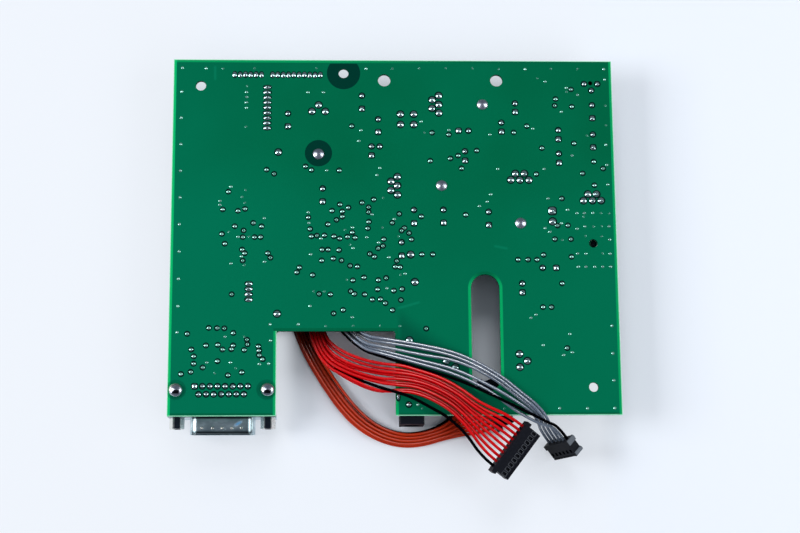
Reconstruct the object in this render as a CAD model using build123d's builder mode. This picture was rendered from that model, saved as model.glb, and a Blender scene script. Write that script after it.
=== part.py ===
from build123d import *
from math import dist, pi, radians, tan
import os

os.makedirs("parts", exist_ok=True)

# A power supply board lying on its parts, with the soldered side up. Millimetres, +Z up.
# Places on the board are given from its left edge and from its rear edge.
board_width = 166.0
board_depth = 135.0
board_thick = 1.6
stand = 12.55  # height of the connector that carries the board
shell_reach = 5.9  # connector shell in front of the board
tab_width = 39.4
notch_width = 43.6
notch_depth = 31.1
slot_width = 10.6
slot_length = 43.7
slot_spot = (116.4, 104.55)
mounting_holes = [(10.3, 10.3, 3.9), (64, 5.2, 3.8), (79.4, 7.9, 4.8), (122, 7.8, 4.7), (155.7, 124.8, 3.5)]
trimmer_hole = (157.8, 8.7, 1.7)
header_pitch = 2.0
row_spot = 5.7  # line of the two rear headers
wire_dia = 1.1
plug_thick = 4.5
plug_ear = 0.8
shroud_height = 6.0
shroud_wall = 0.6
plug_gap = 2.0  # between a shroud's rim and the wires' end of its plug
plug_depth = shroud_height - 1 + plug_gap
fit = 0.1
dsub_spot = 19.65
dsub_spread = 33.3  # between the connector's two screws
dsub_pitch = 2.74
dsub_row_gap = 2.84
front_row = 8.15  # front row of contacts from the board's front edge
tab_hole_reach = 16.6  # inner leads of a power package to its tab hole
tab_hole_dia = 3.3
lead_spread = 2.5

top = stand + board_thick
rear = (board_depth + shell_reach) / 2
joints = []


def spot(x, y, z=0.0):
    return (x - board_width / 2, rear - y, z)


def flat(x, y):
    return spot(x, y)[:2]


def save(part, name):
    part.label = name
    export_step(part, f"parts/{name}.step")


# Power packages lie under the board: middle of the inner lead row, heading of the tab, leads.
packages = {
    "regulator_1": ((99.8, 17.1), 0, 5),
    "regulator_2": ((84.0, 48.7), 0, 5),
    "regulator_3": ((130.0, 46.5), -90, 5),
    "regulator_4": ((157.1, 54.4), -90, 5),
    "regulator_5": ((54.5, 20.0), -90, 3),
    "power_transistor": ((131.3, 114.9), 0, 3),
}
riveted = ["regulator_1", "regulator_2", "regulator_3", "regulator_5"]


def package_plane(name, height):
    (x, y), heading, _ = packages[name]
    return Plane(origin=spot(x, y, height), x_dir=Vector(1, 0, 0).rotate(Axis.Z, heading))


def tab_hole(name):
    return package_plane(name, 0).from_local_coords(Vector(tab_hole_reach, 0, 0))


# Board
with BuildPart() as circuit_board:
    with BuildSketch(Plane.XY.offset(stand)) as outline:
        with Locations((0, rear - board_depth / 2)):
            Rectangle(board_width, board_depth)
        with Locations(flat(tab_width + notch_width / 2, board_depth - notch_depth / 2)):
            Rectangle(notch_width, notch_depth, mode=Mode.SUBTRACT)
        roots = outline.vertices().filter_by_position(Axis.Y, *[flat(0, board_depth - notch_depth)[1]] * 2)
        fillet(roots, 1)
        with Locations(flat(*slot_spot)):
            SlotOverall(slot_length, slot_width, rotation=90, mode=Mode.SUBTRACT)
        for x, y, dia in [*mounting_holes, trimmer_hole]:
            with Locations(flat(x, y)):
                Circle(dia / 2, mode=Mode.SUBTRACT)
        for name in [*riveted, "regulator_4"]:
            hole = tab_hole(name)
            with Locations((hole.X, hole.Y)):
                Circle(tab_hole_dia / 2, mode=Mode.SUBTRACT)
    extrude(amount=board_thick)
save(circuit_board.part, "circuit_board")

# Power packages: a tab against the board, a moulded body and leads bent up to the board
body_start = 3.9
body_length = 9.2
package_width = 10.2
tab_length = 15.5
tab_thick = 1.3
package_thick = 4.4
lead_level = 2.4
for name, (_, _, count) in packages.items():
    step = 1.7 if count == 5 else 2.5
    with BuildPart() as package:
        with BuildSketch(package_plane(name, stand)):
            with Locations((body_start + tab_length / 2, 0)):
                Rectangle(tab_length, package_width)
            with Locations((tab_hole_reach, 0)):
                Circle(tab_hole_dia / 2 + 0.2, mode=Mode.SUBTRACT)
        extrude(amount=-tab_thick)
        with BuildSketch(package_plane(name, stand - tab_thick)):
            with Locations((body_start + body_length / 2, 0)):
                Rectangle(body_length, package_width - 0.2)
        extrude(amount=tab_thick - package_thick, taper=5)
        for i in range(count):
            across = (i - (count - 1) / 2) * step
            near = i % 2 == (1 if name == "power_transistor" else 0)
            bend = 0 if near else -lead_spread
            with BuildSketch(package_plane(name, stand - lead_level)):
                with Locations(((bend + body_start) / 2, across)):
                    Rectangle(body_start - bend + 0.4, 0.8)
            extrude(amount=-0.5)
            with BuildSketch(package_plane(name, stand - lead_level - 0.5)):
                with Locations((bend, across)):
                    Rectangle(0.5, 0.8)
            extrude(amount=lead_level + 0.5)
            lead = package_plane(name, 0).from_local_coords(Vector(bend, across, 0))
            joints.append((lead.X, lead.Y, 1.25))
    save(package.part, name)

# Rivets clamp the tabs: a domed head on the soldered side and a rolled end under the tab
with BuildPart() as tab_rivets:
    for name in riveted:
        hole = tab_hole(name)
        under = stand - tab_thick
        for level, radius, height in [(under - 0.6, 2.3, 0.6), (under, tab_hole_dia / 2 - 0.05, top - under), (top, 2.1, 1.1)]:
            with BuildSketch(Plane(origin=(hole.X, hole.Y, level))):
                Circle(radius)
            extrude(amount=height)
    fillet(tab_rivets.edges().group_by(Axis.Z)[-1], 0.9)
save(tab_rivets.part, "tab_rivets")

# Electrolytic capacitors hang from the board on two leads
tall_cans = [(70.8, 16.35), (76.9, 25.5), (56.1, 52.4), (90.1, 60.65), (101.1, 60.5), (118, 61.25)]
tall_cans += [(158, 19.75), (158, 31.2)]
small_cans = [(128.7, 18.3), (123.4, 25.95), (144.9, 28.8), (144.9, 38), (109.5, 37.2), (130, 87.7)]
sideways_cans = {"tall": [(140.25, 80.1)], "small": [(109.05, 27.45)]}


def cans(spots, dia, height):
    with BuildPart() as result:
        with BuildSketch(Plane.XY.offset(stand)):
            with Locations(*[flat(x, y) for x, y in spots]):
                Circle(dia / 2)
        extrude(amount=-1.2)
        with BuildSketch(Plane.XY.offset(stand - 1.2)):
            with Locations(*[flat(x, y) for x, y in spots]):
                Circle(dia / 2 - 0.35)
        extrude(amount=-0.8)
        with BuildSketch(Plane.XY.offset(stand - 2)):
            with Locations(*[flat(x, y) for x, y in spots]):
                Circle(dia / 2)
        extrude(amount=2 - height)
        chamfer(result.faces().sort_by(Axis.Z)[0 : len(spots)].edges(), 0.4)
    return result.part


def pair(x, y, pitch, sideways=False):
    for side in (-0.5, 0.5):
        place = (x + side * pitch, y) if sideways else (x, y + side * pitch)
        joints.append((*flat(*place), 1.1))


for x, y in tall_cans:
    pair(x, y, 5.0)
for x, y in small_cans:
    pair(x, y, 3.5)
pair(*sideways_cans["tall"][0], 5.0, sideways=True)
pair(*sideways_cans["small"][0], 3.6, sideways=True)
save(cans(tall_cans + sideways_cans["tall"], 10, stand), "tall_capacitors")
save(cans(small_cans + sideways_cans["small"], 8, 11.5), "small_capacitors")

# Film capacitors
films = [(43, 23.4, 5.0), (74.4, 35.35, 3.5), (85.4, 72.95, 5.0)]
with BuildPart() as film_capacitors:
    for x, y, pitch in films:
        with BuildSketch(Plane.XY.offset(stand)):
            with Locations(flat(x, y)):
                Rectangle(pitch / 2, pitch + 2.2)
        extrude(amount=-pitch - 2)
        pair(x, y, pitch)
    fillet(film_capacitors.edges().filter_by(Axis.Z), 0.4)
save(film_capacitors.part, "film_capacitors")

# Common mode choke: a ferrite ring with two windings, flat under four leads
choke = flat(87.8, 23)
ring_profile = [4.4, 2.2, 4.0]  # middle radius, radial thickness, height
with BuildPart() as choke_core:
    with BuildSketch(Plane.XY.offset(stand - 1.4)):
        with Locations(choke):
            Circle(ring_profile[0] + ring_profile[1] / 2)
            Circle(ring_profile[0] - ring_profile[1] / 2, mode=Mode.SUBTRACT)
    extrude(amount=-ring_profile[2])
save(choke_core.part, "choke_core")
with BuildPart() as choke_windings:
    for start in (30, 210):
        outward = Vector(1, 0, 0).rotate(Axis.Z, start)
        face = Plane(origin=(*choke, 0), x_dir=outward, z_dir=outward.cross(Vector(0, 0, 1)))
        with BuildSketch(face):
            with Locations((ring_profile[0], stand - 1.4 - ring_profile[2] / 2)):
                Rectangle(ring_profile[1] + 1.6, ring_profile[2] + 1.6)
                Rectangle(ring_profile[1] + 2 * fit, ring_profile[2] + 2 * fit, mode=Mode.SUBTRACT)
        revolve(axis=Axis((*choke, 0), (0, 0, 1)), revolution_arc=120)
save(choke_windings.part, "choke_windings")
for x in (85.3, 90.3):
    pair(x, 23, 4.0)

# Surface-mounted parts: moulded circuits with leads on two sides, and chips
circuits = [(66, 62.5, 10, 6), (72, 83, 12, 12), (60, 76, 6, 5), (28.5, 61.5, 10, 4), (25, 73, 6, 5)]
circuits += [(18, 113.5, 10, 4), (28, 112, 5, 4), (145.5, 101, 5, 6), (147.8, 69.4, 5, 4), (60, 93, 8, 4)]
with BuildPart() as integrated_circuits:
    for x, y, wide, deep in circuits:
        with BuildSketch(Plane.XY.offset(stand - 0.15)):
            with Locations(flat(x, y)):
                Rectangle(wide, deep)
        extrude(amount=-1.5, taper=8)
        with BuildSketch(Plane.XY.offset(stand)):
            with Locations(flat(x, y)):
                with GridLocations(1.27, deep + 1.2, int(wide / 1.27), 2):
                    Rectangle(0.45, 1.6)
        extrude(amount=-0.5)
save(integrated_circuits.part, "integrated_circuits")

chip_rows = [(20, 52, 4, 3, 4), (36.5, 64, 3, 2, 4), (55, 62.5, 4, 3, 3), (82.5, 82, 4, 2, 3)]
chip_rows += [(94, 69, 4, 3, 2), (12, 107, 4, 3, 2), (30, 118.3, 3, 4, 2), (151, 25, 3, 1, 3)]
chip_rows += [(133, 31, 4, 3, 3), (136, 94, 4, 3, 2)]
with BuildPart() as chip_parts:
    with BuildSketch(Plane.XY.offset(stand)):
        for x, y, step, across, along in chip_rows:
            with Locations(flat(x, y)):
                with GridLocations(step, 3, across, along):
                    Rectangle(2.0, 1.25)
    extrude(amount=-0.6)
save(chip_parts.part, "chip_parts")

# Headers with a shroud, and the plugs in them. A plug is drawn with its wires entering at y = 0.


def row_length(count):
    return count * header_pitch


def plug(plane, count, depth=plug_depth, thick=plug_thick, ear=plug_ear, hooks=False):
    length = row_length(count)
    with BuildPart() as result:
        with BuildSketch(plane.offset(-thick / 2)):
            with Locations((0, -depth / 2)):
                Rectangle(length, depth)
            with Locations((0, -plug_gap / 2)):
                Rectangle(length + 2 * ear, plug_gap - 2 * fit)
            if hooks:  # round ribs down one end
                with Locations((length / 2, -0.7), (length / 2, -depth + 0.7)):
                    Circle(0.9)
        extrude(amount=thick)
        # windows over the contacts, and the step round the mating end
        with BuildSketch(plane.offset(thick / 2)):
            with Locations((0, -depth * 0.65)):
                with GridLocations(header_pitch, 1, count, 1):
                    Rectangle(1.1, depth * 0.22)
        extrude(amount=-0.6, mode=Mode.SUBTRACT)
        with BuildSketch(plane.offset(thick / 2)):
            with Locations((0, -depth * 0.9)):
                Rectangle(length, 0.3)
        extrude(amount=-0.2, mode=Mode.SUBTRACT)
    return result.part


headers = {"six": (27.9, row_spot, 6, 0), "ten": (46.1, row_spot, 10, 0), "nine": (35.2, 18.6, 9, 90)}
wire_level = stand - 1 - plug_depth
for word, (x, y, count, turn) in headers.items():
    along = Vector(1, 0, 0).rotate(Axis.Z, turn)
    across = Vector(0, 1, 0).rotate(Axis.Z, turn)
    hollow = row_length(count) + 2 * fit
    with BuildPart() as header:
        with BuildSketch(Plane(origin=spot(x, y, stand), x_dir=along)):
            Rectangle(hollow + 2 * shroud_wall, plug_thick + 2 * (fit + shroud_wall))
        extrude(amount=-shroud_height)
        with BuildSketch(Plane(origin=spot(x, y, stand - 1), x_dir=along)):
            Rectangle(hollow, plug_thick + 2 * fit)
        extrude(amount=1 - shroud_height, mode=Mode.SUBTRACT)
    save(header.part, f"{word}_pin_header")
    seat = Plane(origin=spot(x, y, wire_level), x_dir=along, z_dir=across)
    save(plug(seat, count), f"{word}_way_plug")
    for i in range(count):
        place = Vector(*spot(x, y)) + along * ((i - (count - 1) / 2) * header_pitch)
        joints.append((place.X, place.Y, 0.85))

# Open headers: four small pins, and two heavy ones for the supply
with BuildPart() as open_headers:
    for x, y, step, count, thick, pin in [(29, 89, header_pitch, 4, 4.5, 0.5), (141.9, 60.4, 4, 2, 7.5, 1.1)]:
        depth = step * count + 1.9
        with BuildSketch(Plane.XY.offset(stand)):
            with Locations(flat(x, y)):
                Rectangle(thick, depth)
        extrude(amount=-shroud_height)
        with BuildSketch(Plane.XY.offset(stand - 1)):
            with Locations(flat(x, y)):
                Rectangle(thick - 1.2, depth - 1.2)
        extrude(amount=1 - shroud_height, mode=Mode.SUBTRACT)
        with BuildSketch(Plane.XY.offset(stand - 1)):
            with Locations(flat(x, y)):
                with GridLocations(1, step, 1, count):
                    Rectangle(pin, pin)
        extrude(amount=2 - shroud_height)
        for i in range(count):
            joints.append((*flat(x, y + (i - (count - 1) / 2) * step), 0.9 if step < 3 else 1.4))
save(open_headers.part, "open_headers")

# Parts on wires lying along the board, and lone test pins
axial = [((88.7, 75.1), (90.2, 85.4), 5, 2.6), ((88.0, 107.2), (104.8, 117.2), 10, 3.6)]
test_pins = [(39.5, 35.9), (39.5, 97.3), (101.5, 114.8)]
with BuildPart() as axial_parts:
    for first, last, length, dia in axial:
        a, b = Vector(*spot(*first, stand)), Vector(*spot(*last, stand))
        low = Vector(0, 0, -dia / 2 - 0.3)
        heading = (b - a).normalized()
        with BuildSketch(Plane(origin=(a + b) / 2 + low - heading * (length / 2), z_dir=heading)):
            Circle(dia / 2)
        extrude(amount=length)
        with BuildSketch(Plane(origin=a + low, z_dir=heading)):
            Rectangle(0.7, 0.7)
        extrude(amount=(b - a).length)
        for end in (a, b):
            with BuildSketch(Plane(origin=end, x_dir=heading)):
                Rectangle(0.7, 0.7)
            extrude(amount=low.Z - 0.35)
            joints.append((end.X, end.Y, 1.3))
    for x, y in test_pins:
        with BuildSketch(Plane(origin=spot(x, y, stand))):
            Circle(0.6)
        extrude(amount=-3)
        joints.append((*flat(x, y), 1.3))
save(axial_parts.part, "axial_parts")

# Trimmer, turned with a blade through a hole in the board
trimmer_spot = trimmer_hole[:2]
with BuildPart() as trimmer:
    with BuildSketch(Plane(origin=spot(*trimmer_spot, stand))):
        with Locations((0, -0.6)):
            RectangleRounded(7, 7, 0.8)
    extrude(amount=-4.8)
    with BuildSketch(Plane(origin=spot(*trimmer_spot, stand))):
        Circle(1.3)
    extrude(amount=-0.5, mode=Mode.SUBTRACT)
    with BuildSketch(Plane(origin=spot(*trimmer_spot, stand - 0.5))):
        Rectangle(2.0, 0.5, rotation=30)
    extrude(amount=-0.5, mode=Mode.SUBTRACT)
save(trimmer.part, "trimmer")
for across, along in [(-2.55, 0), (2.55, 0), (0, 2.6)]:
    joints.append((*flat(trimmer_spot[0] + across, trimmer_spot[1] + along), 0.9))

# Supply inlet: a round socket in a block under the front edge
jack_spot = 89.0
jack_front = board_depth + 3
jack_width = 9.0
jack_height = 11.0
jack_length = 13.6
jack_axis = stand - 6.5
with BuildPart() as jack_body:
    with BuildSketch(Plane(origin=spot(jack_spot, jack_front, 0), x_dir=(1, 0, 0), z_dir=(0, 1, 0))):
        with Locations((0, -stand + jack_height / 2)):
            RectangleRounded(jack_width, jack_height, 0.6)
    extrude(amount=3.5)
    with BuildSketch(Plane(origin=spot(jack_spot, jack_front - 3.5, 0), x_dir=(1, 0, 0), z_dir=(0, 1, 0))):
        with Locations((0, -stand + 3)):
            Rectangle(jack_width, 6)
        with Locations((0, -jack_axis)):
            Circle(4.4)
    extrude(amount=jack_length - 3.5)
    with BuildSketch(Plane(origin=spot(jack_spot, jack_front, 0), x_dir=(1, 0, 0), z_dir=(0, 1, 0))):
        with Locations((0, -jack_axis)):
            Circle(3.2)
    extrude(amount=9.5, mode=Mode.SUBTRACT)
save(jack_body.part, "jack_body")
with BuildPart() as jack_pin:
    with BuildSketch(Plane(origin=spot(jack_spot, jack_front - 9.5, 0), x_dir=(1, 0, 0), z_dir=(0, -1, 0))):
        with Locations((0, jack_axis)):
            Circle(1.0)
    extrude(amount=8.5)
save(jack_pin.part, "jack_pin")
for x, back, radius in [(87.6, 7, 1.1), (90.6, 7, 1.1), (83.9, 9.5, 1.2), (89, 12.7, 1.4)]:
    joints.append((*flat(x, jack_front - back), radius))

# Fifteen-way D connector, lying under the front left corner
axis_level = stand / 2
shell_width = 24.9
shell_depth = 8.3
flange_width = 39.3
flange_thick = 0.8
dsub_edge = board_depth


def front_plane(distance):
    # upright plane facing forward, with its middle on the connector's axis
    return Plane(origin=spot(dsub_spot, distance, axis_level), x_dir=(1, 0, 0), z_dir=(0, -1, 0))


def shell_outline(inset):
    # wider below than above, with round corners
    half = shell_width / 2 - inset
    low = -shell_depth / 2 + inset
    narrow = half - (shell_depth - 2 * inset) * 0.176
    with BuildSketch(mode=Mode.PRIVATE) as sketch:
        with BuildLine():
            Polyline((-half, low), (half, low), (narrow, -low), (-narrow, -low), close=True)
        make_face()
        fillet(sketch.vertices(), 2.6 - inset)
    return sketch.sketch


with BuildPart() as dsub_shell:
    with BuildSketch(front_plane(dsub_edge - flange_thick)):
        Rectangle(flange_width, stand)
        with Locations((-dsub_spread / 2, 0), (dsub_spread / 2, 0)):
            Circle(1.6, mode=Mode.SUBTRACT)
    extrude(amount=flange_thick)
    with BuildSketch(front_plane(dsub_edge)):
        add(shell_outline(0))
    extrude(amount=shell_reach)
    with BuildSketch(front_plane(dsub_edge - flange_thick)):
        add(shell_outline(0.5))
    extrude(amount=shell_reach + flange_thick, mode=Mode.SUBTRACT)
save(dsub_shell.part, "dsub_shell")

contacts_at = []
for row, count in ((-1, 8), (1, 7)):
    for i in range(count):
        contacts_at.append(((i - (count - 1) / 2) * dsub_pitch, row))
far_row = board_depth - front_row - dsub_row_gap
contact_level = {-1: axis_level - dsub_row_gap / 2, 1: axis_level + dsub_row_gap / 2}
contact_row = {-1: far_row, 1: board_depth - front_row}
with BuildPart() as dsub_contacts:
    for across, row in contacts_at:
        x = dsub_spot + across
        tail = board_depth - 1 - contact_row[row]
        nose = Plane(origin=spot(x, board_depth - 1, contact_level[row]), x_dir=(1, 0, 0), z_dir=(0, -1, 0))
        with BuildSketch(nose):
            Circle(0.5)
        extrude(amount=5.2)
        with BuildSketch(Plane(origin=spot(x, board_depth - 1 - tail / 2, contact_level[row] - 0.3))):
            Rectangle(0.6, tail)
        extrude(amount=0.6)
        with BuildSketch(Plane(origin=spot(x, contact_row[row] + 0.3, contact_level[row] - 0.3))):
            Rectangle(0.6, 0.6)
        extrude(amount=stand - contact_level[row] + 0.3)
        joints.append((*flat(x, contact_row[row]), 1.1))
save(dsub_contacts.part, "dsub_contacts")

with BuildPart() as dsub_insulator:
    with BuildSketch(front_plane(dsub_edge - flange_thick)):
        Rectangle(26.5, 10.6)
    extrude(amount=-5.6)
    with BuildSketch(front_plane(dsub_edge - flange_thick)):
        add(shell_outline(0.6))
    extrude(amount=flange_thick + 0.6)
    add(dsub_contacts.part, mode=Mode.SUBTRACT)
save(dsub_insulator.part, "dsub_insulator")

# Brackets tie the flange to the board, and their split legs lock in its two holes
with BuildPart() as dsub_brackets:
    for side in (-1, 1):
        x = dsub_spot + side * dsub_spread / 2
        outer = flange_width / 2 - dsub_spread / 2
        with BuildSketch(Plane(origin=spot(x, dsub_edge - flange_thick, stand), x_dir=(1, 0, 0))):
            with Locations((0, 12.4 / 2)):
                Rectangle(2 * outer, 12.4)
        extrude(amount=-0.8)
        with BuildSketch(front_plane(dsub_edge - flange_thick)):
            with Locations((side * dsub_spread / 2, 0)):
                Rectangle(2 * outer, stand)
                Circle(1.3, mode=Mode.SUBTRACT)
        extrude(amount=-0.8)
    studs = [flat(dsub_spot + side * dsub_spread / 2, board_depth - 9.6) for side in (-1, 1)]
    with BuildSketch(Plane.XY.offset(top)):
        with Locations(*studs):
            Circle(2.45)
    extrude(amount=1.3)
    fillet(dsub_brackets.edges().group_by(Axis.Z)[-1], 1.1)
save(dsub_brackets.part, "dsub_brackets")

# Hexagonal screws with a threaded bore, one each side of the shell
screw_reach = 4.0
with BuildPart() as jack_screws:
    with BuildSketch(front_plane(dsub_edge)):
        with Locations((-dsub_spread / 2, 0), (dsub_spread / 2, 0)):
            RegularPolygon(4.75 / 2, 6, major_radius=False)
            Circle(1.3, mode=Mode.SUBTRACT)
    extrude(amount=screw_reach)
save(jack_screws.part, "jack_screws")

# Solder joints on the upper side
with BuildPart() as solder_joints:
    for size in sorted({r for _, _, r in joints}):
        with BuildSketch(Plane.XY.offset(top)):
            with Locations(*[(x, y) for x, y, r in joints if r == size]):
                RegularPolygon(size, 8)
        extrude(amount=0.8, taper=35)
save(solder_joints.part, "solder_joints")

# Harnesses. Every station gives where the first and the last wire of a bundle pass. A single number
# shares the wires out evenly in that many layers; a list gives each wire's own distance from the
# first point towards the last one, and its height over it.
layer_rise = 1.2
red_route = [
    ((37.1, 5.7, wire_level), (55.1, 5.7, wire_level), 1),
    ((37.1, 5.7, 0.9), (55.1, 5.7, 0.9), 1),
    ((40.4, 11.2, 0.9), (54.4, 11.3, 0.9), 1),
    ((46.4, 21.5, 0.8), (53.7, 20.5, 0.8), 2),
    ((45.7, 38, 0.8), (52.1, 38, 0.8), 2),
    ((43.5, 52, 0.8), (49.9, 52, 0.8), 2),
    ((45.4, 71, 1.1), (51.8, 71, 1.1), 2),
    ((48.4, 88, 1.9), (54.6, 88, 1.9), 2),
    ((50.9, 104.2, 4.3), (56.4, 102.9, 4.3),
     [(0.5, -1.2), (0.5, 1.2), (1.2, 0), (1.8, 1.2), (2.5, 0), (3.1, 1.2), (3.7, 0), (4.3, 1.2),
      (4.9, 0), (5.5, 1.2)]),
    ((56.6, 115.9, 8.6), (60.6, 108.6, 8.6),
     [(0.7, -1.3), (0, 1.2), (1.0, 0), (1.6, 1.2), (2.4, 0), (3.0, 1.2), (4.2, 0), (4.9, 1.2),
      (6.6, 0), (7.8, 1.1)]),
    ((65.2, 121.6, 11.6), (69.4, 113.7, 11.6),
     [(1.8, -1.2), (0.8, 1.2), (0.2, 0), (2.3, 1.2), (2.7, 0), (3.6, 1.2), (4.7, 0), (5.6, 1.2),
      (7.4, 0), (8.7, 0.9)]),
    ((76.3, 126.6, 14.3), (78.3, 116.1, 14.3),
     [(1.8, 1.8), (0.3, 1.2), (0, 0), (3.4, 1.2), (4.1, 0), (4.9, 1.2), (6.9, 0), (7.6, 1.2),
      (9.0, 0), (10.5, 0.8)]),
    ((83.3, 127.6, 15.6), (84.9, 116.9, 15.6),
     [(0.7, 2.7), (1.2, 1.2), (1.9, 0), (3.5, 1.2), (4.5, 0), (5.8, 1.2), (6.9, 0), (8.0, 1.2),
      (9.3, 0), (10.9, 0.6)]),
    ((90.0, 127.6, 15.6), (91.0, 118.8, 15.6),
     [(-1.5, 0.9), (0.7, 1.2), (1.8, 0), (2.9, 1.2), (4.0, 0), (4.9, 1.2), (6.0, 0), (6.9, 1.2),
      (7.9, 0), (8.9, 1.1)]),
    ((95.6, 132.3, 15.6), (98.6, 121.1, 15.6),
     [(0, 0.3), (2.9, 1.2), (3.9, 0), (5.0, 1.2), (6.6, 0), (7.4, 1.2), (8.3, 0), (9.3, 1.2),
      (10.4, 0), (11.6, 0.9)]),
    ((102.2, 135.9, 15.6), (106.3, 124.9, 15.6),
     [(0, 0), (2.6, 1.2), (3.6, 0), (4.9, 1.2), (6.2, 0), (7.2, 1.2), (8.2, 0), (9.2, 1.2), (10.3, 0),
      (11.5, 0.8)]),
    ((108.6, 142.0, 15.4), (113.9, 131.0, 15.6),
     [(0, 0), (1.9, 0.9), (3.2, 0), (4.5, 1.0), (5.9, 0), (7.1, 1.0), (8.3, 0), (9.6, 1.1), (10.8, 0),
      (12.2, 0.9)]),
]
grey_route = [
    ((22.9, 5.7, wire_level), (32.9, 5.7, wire_level), 1),
    ((22.9, 5.7, 0.9), (32.9, 5.7, 0.9), 1),
    ((23.6, 10.9, 1.0), (31.8, 10.9, 1.0), 1),
    ((25.0, 20, 1.4), (30.9, 19.5, 1.4), 2),
    ((28.8, 34.5, 3.3), (34.2, 33, 3.3), 2),
    ((34.5, 49, 5.2), (39.4, 46, 5.2), 2),
    ((42.8, 64.5, 5.2), (47.6, 61.5, 5.2), 2),
    ((50.5, 81, 5.0), (55.4, 78.2, 5.0), 2),
    ((59.2, 98.6, 6.6), (64.6, 98.4, 6.6), 2),
    ((70.0, 110.6, 12.4), (72.0, 105.6, 12.4),
     [(0, 0), (0.5, 1.2), (1.4, 0), (2.2, 1.2), (4.2, 0), (5.2, 0.9)]),
    ((78.0, 113.4, 14.6), (79.0, 107.0, 14.6),
     [(0, 0), (0.9, 1.0), (2.1, 0), (3.5, 0.9), (5.3, 0), (6.5, 0.6)]),
    ((91.6, 117.9, 15.3), (92.2, 109.2, 15.3),
     [(0, 0.2), (1.7, 0.3), (3.0, 0), (5.0, 0.5), (7.5, 0), (8.7, 0.4)]),
    ((104.6, 121.6, 15.3), (106.4, 112.6, 15.3),
     [(0, 0.3), (1.7, 0), (3.4, 0.2), (6.7, 0.4), (8.1, 0.2), (9.4, 0.3)]),
    ((117.6, 127.6, 15.3), (120.6, 119.9, 15.3),
     [(0, 1.2), (1.2, 0), (2.9, 0.2), (5.9, 0), (6.9, 1.0), (8.2, 0.3)]),
    ((125.2, 132.2, 15.3), (128.6, 126.6, 15.3),
     [(0.6, 1.7), (-0.3, 0.2), (2.8, 0.2), (4.4, 0), (5.2, 1.1), (6.5, 0.4)]),
    ((131.4, 136.4, 15.6), (134.4, 132.2, 15.6),
     [(1.7, 1.7), (0, 0), (2.6, 0), (3.8, 0.1), (4.5, 1.2), (5.8, 0.2)]),
]
# The grey harness turns down into its plug, wire by wire; the first two pass over the others.
grey_turns = [(138.1, 137.9, 16.4), (136.6, 138.7, 15.0), (135.2, 138.0, 13.6),
              (136.3, 137.5, 13.8), (137.3, 136.9, 14.4), (138.4, 136.4, 14.9)]
grey_order = [5, 4, 0, 1, 2, 3]
orange_route = [
    ((35.2, 10.6, wire_level), (35.2, 26.6, wire_level), 1),
    ((35.2, 10.6, 0.8), (35.2, 26.6, 0.8), 2),
    ((40.8, 13.4, 0.8), (37.1, 30.0, 0.8), 2),
    ((43.5, 24.5, 0.7), (36.9, 37, 0.7), 2),
    ((42.0, 44, 0.7), (36.1, 49, 0.7), 2),
    ((42.8, 66, 0.7), (37.6, 69, 0.7), 2),
    ((46.6, 87, 0.7), (41.8, 88.5, 0.7), 2),
    ((50.9, 103.8, 0.7), (46.6, 105.4, 0.7),
     [(0, 0), (0.5, 1.2), (1.2, 0), (1.7, 1.2), (2.4, 0), (2.9, 1.2), (3.5, 0), (4.1, 1.2), (4.7, 0)]),
    ((59.6, 119.0, 0.7), (55.2, 121.0, 0.7),
     [(0, 0), (0.1, 1.2), (1.3, 0), (1.9, 1.2), (2.5, 0), (3.1, 1.2), (3.7, 0), (4.3, 1.2), (4.9, 0)]),
    ((69.9, 132.6, 0.7), (65.6, 136.0, 0.7),
     [(0, 0), (0.1, 1.2), (1.4, 0), (1.9, 1.2), (2.6, 0), (3.2, 1.2), (4.0, 0), (4.5, 1.2), (5.3, 0)]),
    ((79.4, 139.2, 0.7), (77.4, 143.3, 0.7),
     [(0, 0), (0.3, 1.2), (1.2, 0), (1.6, 1.2), (2.4, 0), (2.9, 1.2), (3.6, 0), (4.2, 1.2), (4.8, 0)]),
    ((90.0, 141.2, 0.7), (89.7, 145.1, 0.7),
     [(-0.1, 0), (0.4, 1.2), (1.1, 0), (1.6, 1.2), (2.3, 0), (2.8, 1.2), (3.5, 0), (4.0, 1.2), (4.7, 0)]),
    ((103.2, 136.9, 0.7), (105.4, 141.0, 0.7),
     [(-0.3, 0), (0.7, 1.2), (1.2, 0), (1.9, 1.2), (2.4, 0), (3.1, 1.2), (3.6, 0), (4.3, 1.2), (4.9, 0)]),
]


def station(first, last, places, count):
    reach = dist(first, last)
    if isinstance(places, int):
        places = [(reach * i / (count - 1), layer_rise * (i % places)) for i in range(count)]
    points = []
    for distance, rise in places:
        x, y, z = [a + (b - a) * distance / reach for a, b in zip(first, last)]
        points.append(spot(x, y, z + rise))
    return points


def entries(plane, count):
    first = -(count - 1) / 2 * header_pitch
    return [plane.from_local_coords(Vector(first + i * header_pitch, 0, 0)) for i in range(count)]


red_seat = Plane(origin=spot(123.7, 146.05, 13.5), x_dir=(0.609, 0.793, 0), z_dir=(0.205, -0.158, 0.966))
grey_seat = Plane(origin=spot(142.9, 143.9, 7.9), x_dir=(0.545, 0.075, 0.835), z_dir=(-0.6, -0.66, 0.452))
orange_seat = Plane(origin=spot(117.5, 130.7, 2.35), x_dir=(0.38, -0.925, 0), z_dir=(0, 0, -1))
straight = 6.0  # last run of a wire, into its plug
save(plug(red_seat, 10, ear=1.2), "red_plug")
save(plug(grey_seat, 6, depth=6.6, thick=4.0, hooks=True), "grey_plug")
save(plug(orange_seat, 9, ear=1.2), "orange_plug")


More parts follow.
